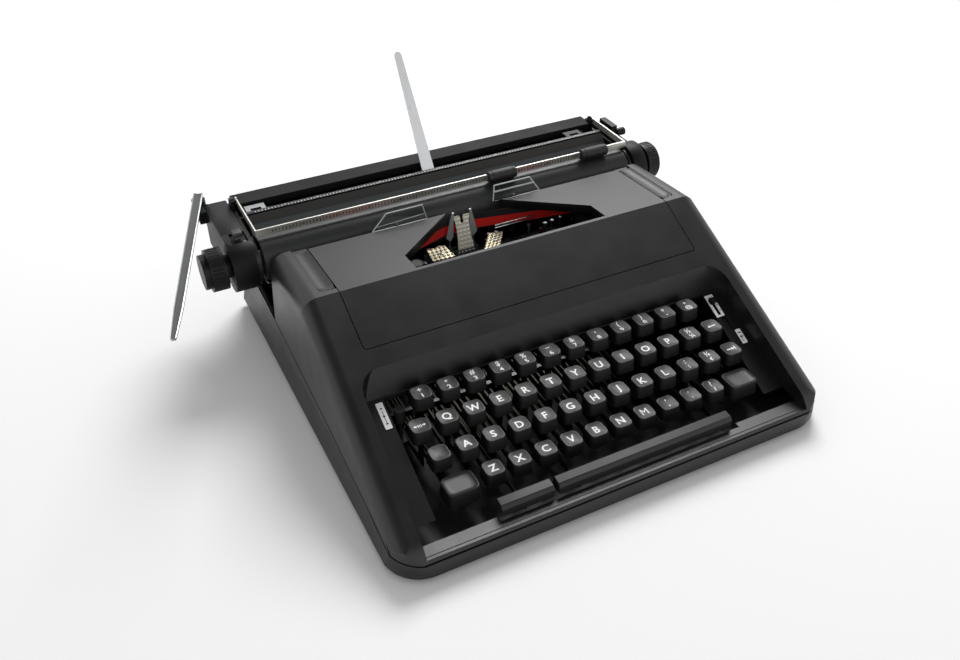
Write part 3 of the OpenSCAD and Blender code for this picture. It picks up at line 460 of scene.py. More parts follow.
def tube(path: Array, radius: float, sides: int = 10) -> Array:
    """Rings of a round wire along a path.

    Each ring lies in the plane square to the path's slope there: the slope's cross
    product with the upright gives one axis of it and a second cross product the other.

    Args:
        path: Points of the centreline.
        radius: Radius of the wire.
        sides: Points round the wire.

    Returns:
        A stack of rings along the wire.
    """
    slope = np.gradient(path, axis=0)
    slope /= np.linalg.norm(slope, axis=1, keepdims=True)
    up = np.where(np.abs(slope[:, 2:]) > 0.9, [[1.0, 0.0, 0.0]], [[0.0, 0.0, 1.0]])
    side = np.cross(slope, up)
    side /= np.linalg.norm(side, axis=1, keepdims=True)
    other = np.cross(slope, side)
    angle = np.linspace(0, 2 * np.pi, sides, endpoint=False)[None, :, None]
    return path[:, None] + radius * (np.cos(angle) * side[:, None] + np.sin(angle) * other[:, None])


class Shape:
    """Gathers stacks of rings and loose faces into one mesh object."""

    def __init__(self, name: str, finishes: Sequence[Finish]) -> None:
        """Starts an empty shape.

        Args:
            name: Name of the piece.
            finishes: Its finishes, in the order that slots are numbered.
        """
        self.name = name
        self.finishes = finishes
        self.points: list[Array] = []
        self.faces: Faces = []
        self.slots: list[int] = []
        self.count = 0

    def rings(self, stack: Array, slot: int = 0, columns: Optional[Sequence[int]] = None,
              low: tuple[int, int] = (0, 0)) -> None:
        """Adds the skin over a stack of rings.

        Point j of ring i joins point j + 1 and the same two of ring i + 1, and the last
        point of a ring joins its first. Both ends get a face.

        Args:
            stack: Rings, points, coordinates in drawing millimetres.
            slot: Number of the finish.
            columns: Number of the finish from each point of a ring to the next.
            low: How many of the first steps between rings have another finish, and its number.
        """
        m, n, _ = stack.shape
        base = np.arange(m - 1)[:, None] * n + self.count
        here, then = base + np.arange(n), base + (np.arange(n) + 1) % n
        quads = np.stack([here, then, then + n, here + n], -1).reshape(-1, 4)
        faces = quads.tolist()
        faces.append((np.arange(n)[::-1] + self.count).tolist())
        faces.append((np.arange(n) + (m - 1) * n + self.count).tolist())
        self.take(stack.reshape(-1, 3), faces, slot, 0)
        start = len(self.slots) - len(faces)
        self.slots[start:start + low[0] * n] = [low[1]] * (low[0] * n)
        if columns:
            self.slots[start:start + len(quads)] = list(columns) * (m - 1)

    def take(self, points: Array, faces: Faces, slot: int, offset: Optional[int] = None) -> None:
        """Adds points and faces.

        Args:
            points: Coordinates in drawing millimetres.
            faces: Faces as lists of point numbers.
            slot: Number of the finish.
            offset: Added to the numbers; left out, they start after the points before.
        """
        shift = self.count if offset is None else offset
        self.faces += [[i + shift for i in f] for f in faces]
        self.slots += [slot] * len(faces)
        self.points.append(points)
        self.count += len(points)

    def block(self, low: Floats, high: Floats, radius: float, slot: int = 0) -> None:
        """Adds a block with rounded edges."""
        self.rings(soft_block(low, high, radius), slot)

    def blocks(self, ends: Sequence[tuple[float, ...]], radius: float, slot: int = 0) -> None:
        """Adds blocks, each from its lowest and highest X, then Y, then Z."""
        for x0, x1, y0, y1, z0, z1 in ends:
            self.block((x0, y0, z0), (x1, y1, z1), radius, slot)

    def finish(self, body: str, node: str = "", sharp: float = 32.0) -> None:
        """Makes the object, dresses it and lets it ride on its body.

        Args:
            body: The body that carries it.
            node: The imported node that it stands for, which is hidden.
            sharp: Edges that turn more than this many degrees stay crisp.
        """
        mesh = bpy.data.meshes.new(self.name)
        mesh.from_pydata(to_frame(np.concatenate(self.points)), [], self.faces)
        for finish in self.finishes:
            mesh.materials.append(finish.make())
        mesh.polygons.foreach_set("material_index", np.array(self.slots, np.int32))
        work = bmesh.new()
        work.from_mesh(mesh)
        bmesh.ops.recalc_face_normals(work, faces=work.faces)
        work.to_mesh(mesh)
        work.free()
        mesh.shade_smooth()
        mesh.set_sharp_from_angle(angle=math.radians(sharp))
        made = new_object(self.name, mesh)
        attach(made, body)
        if node:
            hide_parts(node)
        LOG.info("piece %s on %s: %d faces", self.name, body, len(mesh.polygons))


def letter_mesh(text: str, size: float, weight: float) -> tuple[Array, Faces]:
    """Takes the outline of a text as a solid slab.

    Args:
        text: The characters.
        size: Letter size in millimetres.
        weight: Extra stroke weight in millimetres.

    Returns:
        Points centred on the origin in millimetres, 0.2 mm thick, and faces.
    """
    curve = bpy.data.curves.new("glyph", "FONT")
    # The inner corners of an M cross over when its strokes are thickened.
    curve.body, curve.size, curve.extrude = text, size, 0.1
    curve.offset = 0.0 if text == "M" else weight
    curve.align_x, curve.align_y, curve.resolution_u = "CENTER", "CENTER", 3
    holder = new_object("glyph", curve)
    mesh = bpy.data.meshes.new_from_object(holder)
    points = np.zeros(len(mesh.vertices) * 3)
    mesh.vertices.foreach_get("co", points)
    faces = [list(f.vertices) for f in mesh.polygons]
    bpy.data.objects.remove(holder)
    bpy.data.meshes.remove(mesh)
    points = points.reshape(-1, 3)
    middle = (points.min(0) + points.max(0)) / 2
    return points - middle, faces


@dataclass
class KeyCap:
    """One tapered key cap with a dished top, and the marks on it."""

    x: float
    y: float
    z: float
    width: float = 14.4
    depth: float = 14.4
    height: float = 9.6
    dish: float = 0.8
    corner: float = 3.4
    edge: float = 0.55
    bowl: float = 2.0
    top_shift: float = 0.25
    stem: tuple[float, float] = (2.2, 3.6)
    marks: tuple[str, ...] = ()

    def cap_rings(self) -> Array:
        """Rings from the inside of the skirt, down, up the sloping walls and over the top.

        The walls lean in by the taper as they rise. The edge is a quarter circle, and the
        top sinks from it by the dish times one minus the distance out to the power of the bowl.

        Returns:
            A stack of rings.
        """
        turn = np.linspace(0.15, np.pi / 2, 5)
        share = np.array([0.92, 0.8, 0.6, 0.4, 0.2, 0.02])
        sizes = []
        for whole, taper in ((self.width, 0.7), (self.depth, 0.75)):
            inset = np.concatenate([[2.1, 2.0, 0.0, 0.0, 0.5 * taper],
                                    taper + self.edge * (1 - np.cos(turn)) - 0.1])
            sizes.append(np.concatenate([whole / 2 - inset, (whole / 2 - inset[-1]) * share]))
        z = np.concatenate([[-3.0, -self.height, -self.height, 0.3 - self.height, -self.height / 2],
                            self.edge * (np.sin(turn) - 1), self.sunk(share)])
        ring = round_rect(*sizes, np.minimum(self.corner, np.minimum(*sizes) * 0.62), 7)
        ring[..., 1] += np.clip((z + self.height) / self.height, 0, 1)[:, None] * self.top_shift
        level = np.broadcast_to((z + self.z)[:, None], ring.shape[:2])
        return np.dstack([ring + [self.x, self.y], level])

    def sunk(self, share: Array) -> Array:
        """Depth of the dish at a share of the way out from the middle."""
        return -self.dish * (1 - np.minimum(share, 1.0) ** self.bowl)

    def draw(self, shape: Shape) -> None:
        """Adds the cap and its stem.

        Args:
            shape: The shape that gets them.
        """
        # The first five steps of rings, the skirt, take the second finish, which is darker with
        # painted shade.
        shape.rings(self.cap_rings(), low=(5, 1))
        across, deep = self.stem
        shape.blocks(((self.x - across, self.x + across, self.y - deep, self.y + deep,
                       self.z - self.height - 0.4, self.z - 2.0),), 0.3, 1)

    def engrave(self, shape: Shape) -> None:
        """Adds the marks, bent to the dish.

        A point of a mark at distance d from the middle is raised to the dish there, plus
        a paint layer of four hundredths of a millimetre.

        Args:
            shape: The shape that gets them.
        """
        rows = ((2.8, 5.6, 0.12), (-2.8, 5.6, 0.12)) if len(self.marks) > 1 else ((0.0, 8.1, 0.16),)
        for text, (up, size, weight) in zip(self.marks, rows):
            points, faces = Glyph.find(text, size, weight)
            points = points + [0.0, up + 0.25, 0.0]
            out = np.clip(np.hypot(points[:, 0], points[:, 1]) / (self.width / 2 - 1.2), 0, 1)
            points[:, 2] += self.sunk(out) - 0.06
            shape.take(points + [self.x, self.y, self.z], faces, 0)


Outline = tuple[tuple[float, float], ...]


def arrow(tip: float, base: float, end: float, head: float, shaft: float) -> Outline:
    """Outline of an arrow along X: its tip, the base of its head, its end and two half widths."""
    return ((tip, 0), (base, head), (base, shaft), (end, shaft), (end, -shaft), (base, -shaft),
            (base, -head))


def stroke(left: float, right: float, half: float) -> Outline:
    """Outline of an upright stroke."""
    return ((left, half), (right, half), (right, -half), (left, -half))


class Glyph:
    """Marks that are not letters, drawn as flat outlines."""

    OUTLINES: dict[str, tuple[Outline, ...]] = {
        "back": (arrow(-3.4, -1.6, 3.2, 1.3, 0.45),),
        "tab": (arrow(3.0, 1.2, -3.2, 1.4, 0.45), stroke(3.1, 3.8, 1.7)),
        "margin": (arrow(-4.3, -2.7, -1.6, 1.1, 0.35), arrow(4.3, 2.7, 1.6, 1.1, 0.35),
                   stroke(-1.2, -0.75, 1), stroke(-0.22, 0.22, 1), stroke(0.75, 1.2, 1)),
    }

    @classmethod
    def find(cls, text: str, size: float, weight: float) -> tuple[Array, Faces]:
        """Gives a mark as points and faces.

        Args:
            text: A character, or the name of an outline.
            size: Letter size in millimetres.
            weight: Extra stroke weight in millimetres.

        Returns:
            Points in millimetres round the origin, and faces.
        """
        if text not in cls.OUTLINES:
            return letter_mesh(text, size, weight)
        work = Shape("outline", ())
        for outline in cls.OUTLINES[text]:
            work.rings(prism(outline, 2, -0.1, 0.1))
        return np.concatenate(work.points), work.faces


@dataclass
class Keyboard:
    """All the key caps, their marks, the two bars and the levers that are joined to keys."""

    H_ROW = 2
    H_INDEX = 5

    pitch: float = 19.05
    first_x: float = -104.8
    row_dx: tuple[float, ...] = (0.0, -9.4, -4.7, 4.7)
    row_y: tuple[float, ...] = (-52.3, -70.8, -89.2, -107.7)
    row_z: tuple[float, ...] = (59.4, 49.9, 40.5, 31.0)
    fulcrum: tuple[float, float] = (100.0, 18.0)
    eye: float = 4.2
    lever_low: float = 15.5
    lever_high: float = 20.3
    half_lever: float = 0.6
    # One word for each key, with its upper mark first.
    legends: tuple[str, ...] = (
        "+1 \"2 #3 $4 %5 _6 &7 '8 (9 )0 *- °@", "Q W E R T Y U I O P ½¼",
        "A S D F G H J K L :; ¾¢", "Z X C V B N M ,, .. ?/")

    def place(self, row: int, index: int) -> tuple[float, float, float]:
        """Top centre of a key by its row and its place in the row."""
        x = self.first_x + self.pitch * index + self.row_dx[row]
        return x, self.row_y[row], self.row_z[row]

    def build(self) -> None:
        """Makes every key piece."""
        for row, words in enumerate(self.legends):
            keys = [KeyCap(*self.place(row, i), marks=tuple(word))
                    for i, word in enumerate(words.split(), 1 if row else 0)]
            if row == self.H_ROW:
                self.group("letter_key", [keys.pop(self.H_INDEX)], "letter_key_h", "key_h")
            self.group(f"key_caps_row{row + 1}", keys, f"key_row_{row + 1}", f"keys_row{row + 1}")
        for row, index, body, node, marks in (
                (2, 0, "shift_lock", "shift_lock_key", ()),
                (1, 0, "margin_release", "margin_release_key", ("margin",)),
                (1, 12, "backspace", "backspace_key", ("back",)),
                (2, 12, "tabulator", "tab_key", ("tab",))):
            self.single(body, KeyCap(*self.place(row, index), marks=marks), node)
        self.shift()
        arms = ((-30.95, -32.6), (83.3, 81.6))
        self.bar("space", -49.5, 85.0, arms, "space_bar_key", "space_bar")
        self.bar("repeat", -90.0, -53.0, ((-73.75, -72.1),), "repeat_bar_key", "repeat_bar")

    def group(self, name: str, keys: Sequence[KeyCap], body: str, node: str) -> None:
        """Makes the caps of one body and the marks on them.

        Args:
            name: First part of the two pieces' names.
            keys: The caps.
            body: The body that carries them.
            node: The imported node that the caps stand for.
        """
        caps, ink = Shape(f"{name}_caps", (KEY_ABS, KEY_SKIRT_SHADE)), Shape(f"{name}_marks", (KEY_INK,))
        for key in keys:
            key.draw(caps)
            key.engrave(ink)
        caps.finish(body, node)
        if ink.points:
            ink.finish(body)

    def single(self, body: str, key: KeyCap, node: str) -> None:
        """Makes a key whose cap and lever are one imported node.

        Args:
            body: The body that carries it, whose name the pieces take.
            key: The cap.
            node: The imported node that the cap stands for.
        """
        self.group(body, [key], body, node)
        lever = Shape(f"{body}_lever", (BROWNED,))
        self.lever(lever, key.x, key.y, key.z - key.height)
        lever.finish(body)

    def lever(self, shape: Shape, x: float, y: float, top: float) -> None:
        """Adds one flat lever with its riser and its eye on the fulcrum.

        Args:
            shape: The shape that gets it.
            x: Middle of the lever along X.
            y: Middle of the riser along Y.
            top: Height of the riser's upper end.
        """
        eye_y, half = self.fulcrum[0], self.half_lever
        outline = ((y - 3, self.lever_low), (eye_y, self.lever_low), (eye_y, self.lever_high),
                   (y + 3, self.lever_high), (y + 3, top), (y - 3, top))
        shape.rings(prism(outline, 0, x - half, x + half))
        self.hub(shape, x)

    def hub(self, shape: Shape, x: float) -> None:
        """Adds the eye of a lever round the fulcrum rod."""
        ends = ((x - self.half_lever, self.eye), (x + self.half_lever, self.eye))
        shape.rings(turned(ends, (0, *self.fulcrum), 0, 24))

    def shift(self) -> None:
        """Makes both shift keys and the frame that joins them."""
        keys = [KeyCap(x, y, self.row_z[3], 23.0, 18.0, 10.6, 1.0, 3.8, 0.7, 9.0)
                for x, y in ((-105.4, -110.0), (112.3, -109.0))]
        self.group("shift", keys, "shift_frame", "shift_keys")
        levers, places, half = Shape("shift_levers", (BROWNED,)), (-107.15, 109.5), self.half_lever
        for x, key in zip(places, keys):
            self.lever(levers, x, key.y, key.z - key.height)
            levers.block((x - half, 103, 16), (x + half, 114, 20), 0.2)
        levers.rings(turned([(x, 2) for x in places], (0, 112, 18), 0, 20))
        levers.finish("shift_frame")

    def bar(self, name: str, x0: float, x1: float, arms: Sequence[tuple[float, float]], body: str,
            node: str) -> None:
        """Makes a long bar with a bevelled profile, and its arms.

        Args:
            name: First part of the two pieces' names.
            x0: Left end of the bar.
            x1: Right end of the bar.
            arms: Places along X of each arm at its fulcrum and at the bar.
            body: The body that carries them.
            node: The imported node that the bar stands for.
        """
        shape = Shape(f"{name}_bar_top", (KEY_ABS,))
        # Y and Z of the bar's outline, from the front's lower edge up, over the top and down.
        profile = np.array([[-136.6, 19.2], [-136.6, 24.6], [-136.3, 25.3], [-135.2, 27.0],
                            [-134.6, 27.4], [-129.2, 27.9], [-128.6, 27.7], [-127.6, 26.3],
                            [-127.4, 25.7], [-127.4, 19.2]])
        middle = np.array([-132.0, 23.4])
        inset = np.array([0.93, 0.98, 1.0, 1.0, 0.98, 0.93])
        along = np.array([x0, x0 + 0.2, x0 + 0.7, x1 - 0.7, x1 - 0.2, x1])
        shape.rings(along_x(along, middle + (profile - middle)[None] * inset[:, None, None]))
        shape.finish(body, node, 20.0)
        levers, half, rear = Shape(f"{name}_bar_arms", (BROWNED,)), self.half_lever, self.fulcrum[0]
        low, high, front, bend, back = 14.5, 18.5, -134, -97, -95
        for near, far in arms:
            left, right = sorted((near, far))
            levers.blocks([(x0 - half, x1 + half, y0, y1, low, top) for x0, x1, y0, y1, top in (
                (near, near, bend, rear, high), (left, right, bend, back, high),
                (far, far, front, back, high), (far, far, front, -128.5, 20))], 0.15)
            self.hub(levers, near)
        levers.finish(body)


@dataclass
class Carriage:
    """Scales, rollers, levers and trim of the carriage."""

    left: float = -159.0
    right: float = 150.0
    tick: float = 2.54
    roller_x: tuple[float, float] = (37.0, 121.5)
    lever_pivot: tuple[float, float] = (-184.0, 176.0)
    arm_x: float = -8.0
    arm_foot: tuple[float, float] = (147.5, 102.0)
    arm_angle: float = math.radians(90 - 34.7)

    def build(self) -> None:
        """Makes every carriage piece."""
        self.bail_scale()
        self.margin_ticks()
        self.rollers()
        self.return_lever()
        self.paper_arm()
        self.end_lid("left", self.left - 23.1, self.left - 5.9)
        self.end_lid("right", self.right + 3.7, self.right + 10.7)
        self.table_edge()
        self.line_space_head()

    def line_space_head(self) -> None:
        """Makes the knob of the line space lever, and the bed with white marks under its slot."""
        head = Shape("line_space_head", (BUTTON_ABS,))
        head.block((-175.2, 107.6, 103.6), (-168.6, 114.4, 107.4), 0.8)
        head.finish("line_space")
        bed = Shape("line_space_bed", (END_ABS, SCALE_INK))
        bed.block((-177.6, 100.0, 92.0), (-165.4, 121.0, 100.6), 1.0)
        bed.blocks([(-169.0, -167.2, y, y + 0.5, 100.4, 100.75) for y in (103.2, 106.2, 116.6)],
                   0.1, 1)
        bed.finish("carriage")
        bits = Shape("left_end_fittings", (PASSIVATED, ZINC))
        wire = np.array([(-160.2, 103.4, 92.0), (-160.2, 103.0, 80.0), (-160.2, 101.6, 70.0)])
        bits.rings(tube(wire, 0.8))
        for y, z in ((104.4, 88.0), (104.0, 80.5), (101.8, 73.0)):
            bits.rings(turned(((-161.4, 1.9), (-160.0, 1.9), (-159.7, 1.4)), (0, y, z), 0, 18), 1)
        bits.finish("carriage")

    def end_lid(self, side: str, low: float, high: float) -> None:
        """Makes the lid over the top and rear of an end housing.

        The lid's outline, seen from the side, is carried along X in four rings; the first
        and last are drawn in towards its middle line by the radius of the edge.

        Args:
            side: Name of the end.
            low: Outer or inner end along X.
            high: The other end along X.
        """
        outer = np.array([[118.5, 102.05], [126.0, 102.15], [169.6, 100.25], [171.05, 98.8],
                          [171.05, 66.2]])
        inner = np.array([[168.7, 66.2], [168.7, 97.4], [126.0, 99.4], [118.5, 99.5]])
        ring = np.concatenate([outer, inner])
        drawn = np.concatenate([outer - [[0, 0.7], [0, 0.7], [0.5, 0.5], [0.7, 0.2], [0.7, 0]],
                                inner])
        section = np.stack([drawn, ring, ring, drawn])
        shape = Shape(f"end_lid_{side}", (END_ABS,))
        shape.rings(along_x(np.array([low, low + 0.7, high - 0.7, high]), section))
        shape.finish("carriage", sharp=50.0)

    def table_edge(self) -> None:
        """Makes the brown strip along the upper edge of the paper table."""
        shape = Shape("paper_table_edge", (TABLE_EDGE,))
        outline = ((131.4, 97.2), (132.45, 98.45), (136.15, 102.1), (136.0, 102.3), (132.2, 98.75),
                   (131.2, 97.4))
        shape.rings(prism(outline, 0, self.left + 1.2, self.right - 1.2))
        shape.finish("carriage")

    def ticks(self, shape: Shape, at: Array, low: Array, high: Array, front: bool,
              level: float) -> None:
        """Adds a row of thin marks as slabs 0.06 mm thick.

        Args:
            shape: The shape that gets them.
            at: Places along X.
            low: Lower end of each mark.
            high: Upper end of each mark.
            front: Whether they stand on a front face, or lie on a top face.
            level: Y of the front face, or Z of the top face.
        """
        half, thick, sunk = 0.28, 0.06, 0.01
        for x, a, b in zip(at, low, high):
            if front:
                outline = ((level - thick, a), (level + sunk, a), (level + sunk, b),
                           (level - thick, b))
            else:
                outline = ((a, level - sunk), (b, level - sunk), (b, level + thick),
                           (a, level + thick))
            shape.rings(prism(outline, 0, x - half, x + half))

    def bail_scale(self) -> None:
        """Prints the scale on the front of the bail, with room for the rollers."""
        marks = Shape("bail_scale_marks", (BAIL_INK,))
        index = np.arange(0, 111)
        at = self.left + 9 + index * self.tick
        room = np.abs(at[:, None] - self.roller_x).min(1)
        keep = (room > 14) & (at < 149) & (index % 10 != 0)
        low = np.where(index % 5 == 0, 101.9, 102.6)
        self.ticks(marks, at[keep], low[keep], np.full(keep.sum(), 104.6), True, 106.6)
        for i in index[(index % 10 == 0) & (index > 0) & (room >= 15) & (at <= 147)]:
            points, faces = letter_mesh(str(i), 2.9, 0.03)
            upright = points[:, [0, 2, 1]] * [0.8, -0.4, 1.0]
            marks.take(upright + [at[i], 106.58, 103.6], faces, 0)
        marks.finish("bail")

    def margin_ticks(self) -> None:
        """Prints the scale on top of the margin strip."""
        marks = Shape("margin_scale_marks", (SCALE_INK,))
        index = np.arange(0, 118)
        at = self.left + 6 + index * self.tick
        keep = (at < self.right - 3) & (index % 10 != 0)
        high = np.where(index % 5 == 0, 141.6, 140.9)
        self.ticks(marks, at[keep], np.full(keep.sum(), 139.3), high[keep], False, 102.0)
        for i in index[(index % 10 == 0) & (index > 0) & (at < self.right - 6)]:
            points, faces = letter_mesh(str(i), 2.6, 0.03)
            marks.take(points * [0.8, 0.85, 0.3] + [at[i], 140.9, 102.02], faces, 0)
        marks.finish("carriage")

    def rollers(self) -> None:
        """Makes the two bail rollers with rounded ends and a fine waist at each end."""
        shape = Shape("bail_roller_pair", (ROLLER_RUBBER, ZINC))
        for x in self.roller_x:
            half = np.array([-12, -11.9, -11.4, -9.6, -9.3, -8.9, -8.6])
            radius = np.array([3.6, 4.1, 4.5, 4.55, 4.35, 4.35, 4.75])
            place = x + np.concatenate([half, -half[::-1]])
            profile = np.stack([place, np.concatenate([radius, radius[::-1]])], -1)
            shape.rings(turned(profile, (0, 105.9, 104.2), 0, 40))
        shape.finish("bail", "bail_rollers")

    def return_lever(self) -> None:
        """Makes the carriage return lever as a long tapered channel.

        Ring s along the lever has a half width that falls from 3.4 mm to 1.8 mm and a
        rounded tip; its top is dished by half a millimetre between two raised edges.
        """
        length, lean = 172.1, math.radians(18.4)
        butt = [-0.0348, -0.0335, -0.031]
        share = np.concatenate([butt, np.linspace(0, 0.985, 24), [0.995, 1.0, 1.004]])[:, None]
        half = np.interp(share, butt + [0.826, 1.0, 1.004], [3.2, 3.55, 3.7, 3.1, 1.8, 0.8])
        across = np.array([-1, -0.97, -0.72, -0.6, 0, 0.6, 0.72, 0.97, 1, 0.96, 0, -0.96])
        height = np.array([103.9, 104.5, 104.7, 104.2, 104.1, 104.2, 104.7, 104.5, 103.9,
                           103.1, 103.0, 103.1])
        rings = np.stack(np.broadcast_arrays(half * across, -share * length, height), -1)
        body = Shape("return_lever_blade", (LEVER_CHROME, ZINC, LEVER_CHANNEL))
        body.rings(self.swing(rings, lean), columns=(0, 0, 2, 2, 2, 2, 0, 0, 0, 0, 0, 0))
        for profile in (((88, 1.94), (103.2, 1.94)),
                        ((86.6, 3.6), (86.8, 4), (88.6, 4), (88.8, 3.6))):
            body.rings(turned(profile, (*self.lever_pivot, 0), 2, 32), 1)
        body.finish("line_lever", "return_lever")

    def swing(self, rings: Array, lean: float) -> Array:
        """Turns points of the return lever and puts them on its pivot.

        Args:
            rings: Points with the pivot as their origin.
            lean: Angle between the lever and the Y axis.

        Returns:
            The points in their places.
        """
        x = rings[..., 0] * math.cos(lean) + rings[..., 1] * math.sin(lean)
        y = -rings[..., 0] * math.sin(lean) + rings[..., 1] * math.cos(lean)
        return np.stack([x + self.lever_pivot[0], y + self.lever_pivot[1], rings[..., 2]], -1)

    def paper_arm(self) -> None:
        """Makes the paper support as a tapered strip with eased edges and a round tip."""
        reach, tip = 92.0, 3.2
        bend = np.linspace(0.3, 1.5, 6)
        along = np.concatenate([[-7.2, -6.2, -4, -2], np.linspace(0, reach - tip, 10),
                                reach - tip + tip * np.sin(bend)])[:, None]
        half = np.concatenate([[1.5, 3.2, 4.9, 5.3], np.linspace(5.3, tip, 10), tip * np.cos(bend)])
        across = np.array([-1, -0.96, 0, 0.96, 1, 0.96, 0, -0.96])
        out = np.array([0, 0.55, 0.6, 0.55, 0, -0.55, -0.6, -0.55])
        rings = on_slope(self.arm_x + half[:, None] * across, along, out, self.arm_foot,
                         self.arm_angle)
        shape = Shape("paper_support_strip", (ARM_STEEL,))
        shape.rings(rings)
        shape.finish("paper_arm", "paper_support", 50.0)


@dataclass
class Printing:
    """The ribbon and small parts at the printing point."""

    path: tuple[tuple[float, float, float], ...] = (
        (-97.0, 69.2, 76.0), (-46.0, 79.5, 74.2), (-20.0, 90.75, 72.5), (7.0, 90.75, 72.5),
        (48.0, 79.5, 74.2), (97.0, 69.2, 76.0))
    web: float = 13.0
    red: float = 7.6
    half_cloth: float = 0.12
    x: float = -6.5
    guide_foot: tuple[float, float] = (79.4, 61.0)
    gauge_foot: tuple[float, float] = (60.0, 73.0)
    holder_foot: tuple[float, float] = (84.1, 96.0)
    deck_foot: tuple[float, float] = (-125.0, 17.5)

    def build(self) -> None:
        """Makes every piece at the printing point."""
        self.ribbon()
        self.guide()
        self.wings()
        self.gauges()
        self.card_edges()
        self.under_cover()
        self.labels()

    def embossed(self, shape: Shape, grid: Array, normal: Floats, gap: Optional[Array] = None,
                 step: float = 1.7, rise: float = 0.16, thick: float = 0.9) -> None:
        """Adds a thin plate with a raised diamond pattern on one face.

        The pattern's height at sheet distances u and v is the rise times the positive part
        of cos(pi(u + v) / step) cos(pi(u - v) / step). The rear face is the flat grid.

        Args:
            shape: The shape that gets it.
            grid: Points of the front face, by row and column.
            normal: Direction that the front face looks in.
            gap: Cells that are left out, by row and column.
            step: Distance between the middles of two diamonds.
            rise: Height of a diamond.
            thick: Thickness of the plate.
        """
        m, n, _ = grid.shape
        u = np.linalg.norm(grid - grid[:, :1], axis=2)
        v = np.linalg.norm(grid - grid[:1], axis=2)
        wave = np.cos(np.pi * (u + v) / step) * np.cos(np.pi * (u - v) / step)
        out = np.asarray(normal, float) / np.linalg.norm(normal)
        front = grid + out * (rise * np.clip(wave, 0, 1))[..., None]
        back = grid - out * thick
        number = np.arange(m * n).reshape(m, n)
        keep = np.ones((m - 1, n - 1), bool) if gap is None else ~gap
        cell = np.stack([number[:-1, :-1], number[:-1, 1:], number[1:, 1:], number[1:, :-1]], -1)
        faces = cell[keep].tolist() + (cell[keep][:, ::-1] + m * n).tolist()
        pairs = [pair for face in cell[keep].tolist() for pair in zip(face, face[1:] + face[:1])]
        shared = {(b, a) for a, b in pairs}
        rim = [pair for pair in pairs if pair not in shared]
        faces += [[b, a, a + m * n, b + m * n] for a, b in rim]
        shape.take(np.concatenate([front.reshape(-1, 3), back.reshape(-1, 3)]), faces, 0)

    def guide(self) -> None:
        """Makes the type guide: a waisted embossed plate with a slot, on its stand.

        A grid point at share s across and distance h up the slope lies s times the half
        width there off the middle.
        """
        slope = math.atan2(28, 10)
        height = np.linspace(0.0, 28.6, 100)
        half = np.interp(height, [0, 6, 12, 18, 24, 27.4, 28.6],
                         [6.9, 6.3, 5.7, 5.4, 5.8, 6.6, 6.5])
        share = np.linspace(-1, 1, 45)
        grid = on_slope(self.x + half[:, None] * share, height[:, None], -0.3, self.guide_foot,
                        slope)
        middle = half[:-1, None] * (share[:-1] + share[1:])[None] / 2
        slot_half = np.interp(height[:-1], [22.4, 22.6, 27.2, 28.6], [0.0, 1.25, 1.25, 2.2])
        # The plate takes the nickel silver lifted near white: painted light for the shade it stands
        # in.
        shape = Shape("type_guide_plate", (GUIDE_SILVER_PAINTED_LIGHT, ZINC))
        self.embossed(shape, grid, (0, -math.sin(slope), math.cos(slope)),
                      np.abs(middle) < slot_half[:, None], 3.2, 0.35)
        up, out = np.array([[-9.5, -9.5, 2.0, 2.0], [-0.2, -1.6, -1.6, -0.2]])
        foot = on_slope(0.0, up, out, self.guide_foot, slope)[:, 1:]
        shape.rings(prism(foot, 0, self.x - 9, self.x + 9), 1)
        x = self.x
        shape.blocks(((x - 9, x - 4, 76.6, 79.4, 30, 54.5), (x + 4, x + 9, 76.6, 79.4, 30, 54.5),
                      (x - 9, x + 9, 71.7, 79.4, 30, 33)), 0.3, 1)
        shape.finish("type_basket", "type_guide", 40.0)

    def wings(self) -> None:
        """Makes the ribbon vibrator: two bright wings with rolled tops, and its stem."""
        shape = Shape("ribbon_vibrator_wings", (WING_ZINC, ZINC))
        outline = np.array([[91.2, 6.7], [91.2, 8.3], [80.0, 11.2], [71.4, 13.2], [70.0, 12.6],
                            [67.2, 9.4], [71.0, 7.4]])
        profile, x = ((6.4, 0.7), (6.5, 0.95), (8.1, 0.95), (8.2, 0.7)), self.x
        for side in (-1, 1):
            shape.rings(prism(outline * [1, side] + [0, x], 1, 88.3, 88.9))
            roll = [(x + side * place, radius) for place, radius in profile]
            shape.rings(turned(roll, (0, 88.9, 91.1), 0, 16))
            low, high = sorted((x + side * 9.4, x + side * 11.1))
            shape.blocks(((low, high, 88.4, 89.6, 60, 75.5),
                          (low, high, 81, 88.9, 60, 62)), 0.25, 1)
        shape.blocks(((x - 11.1, x + 11.1, 86.9, 88.4, 49, 61.8),
                      (x - 4, x + 4, 83.4, 88, 49.1, 53),
                      (x - 4, x + 4, 83.4, 84.9, 25, 53)), 0.3, 1)
        shape.finish("vibrator", "ribbon_vibrator")

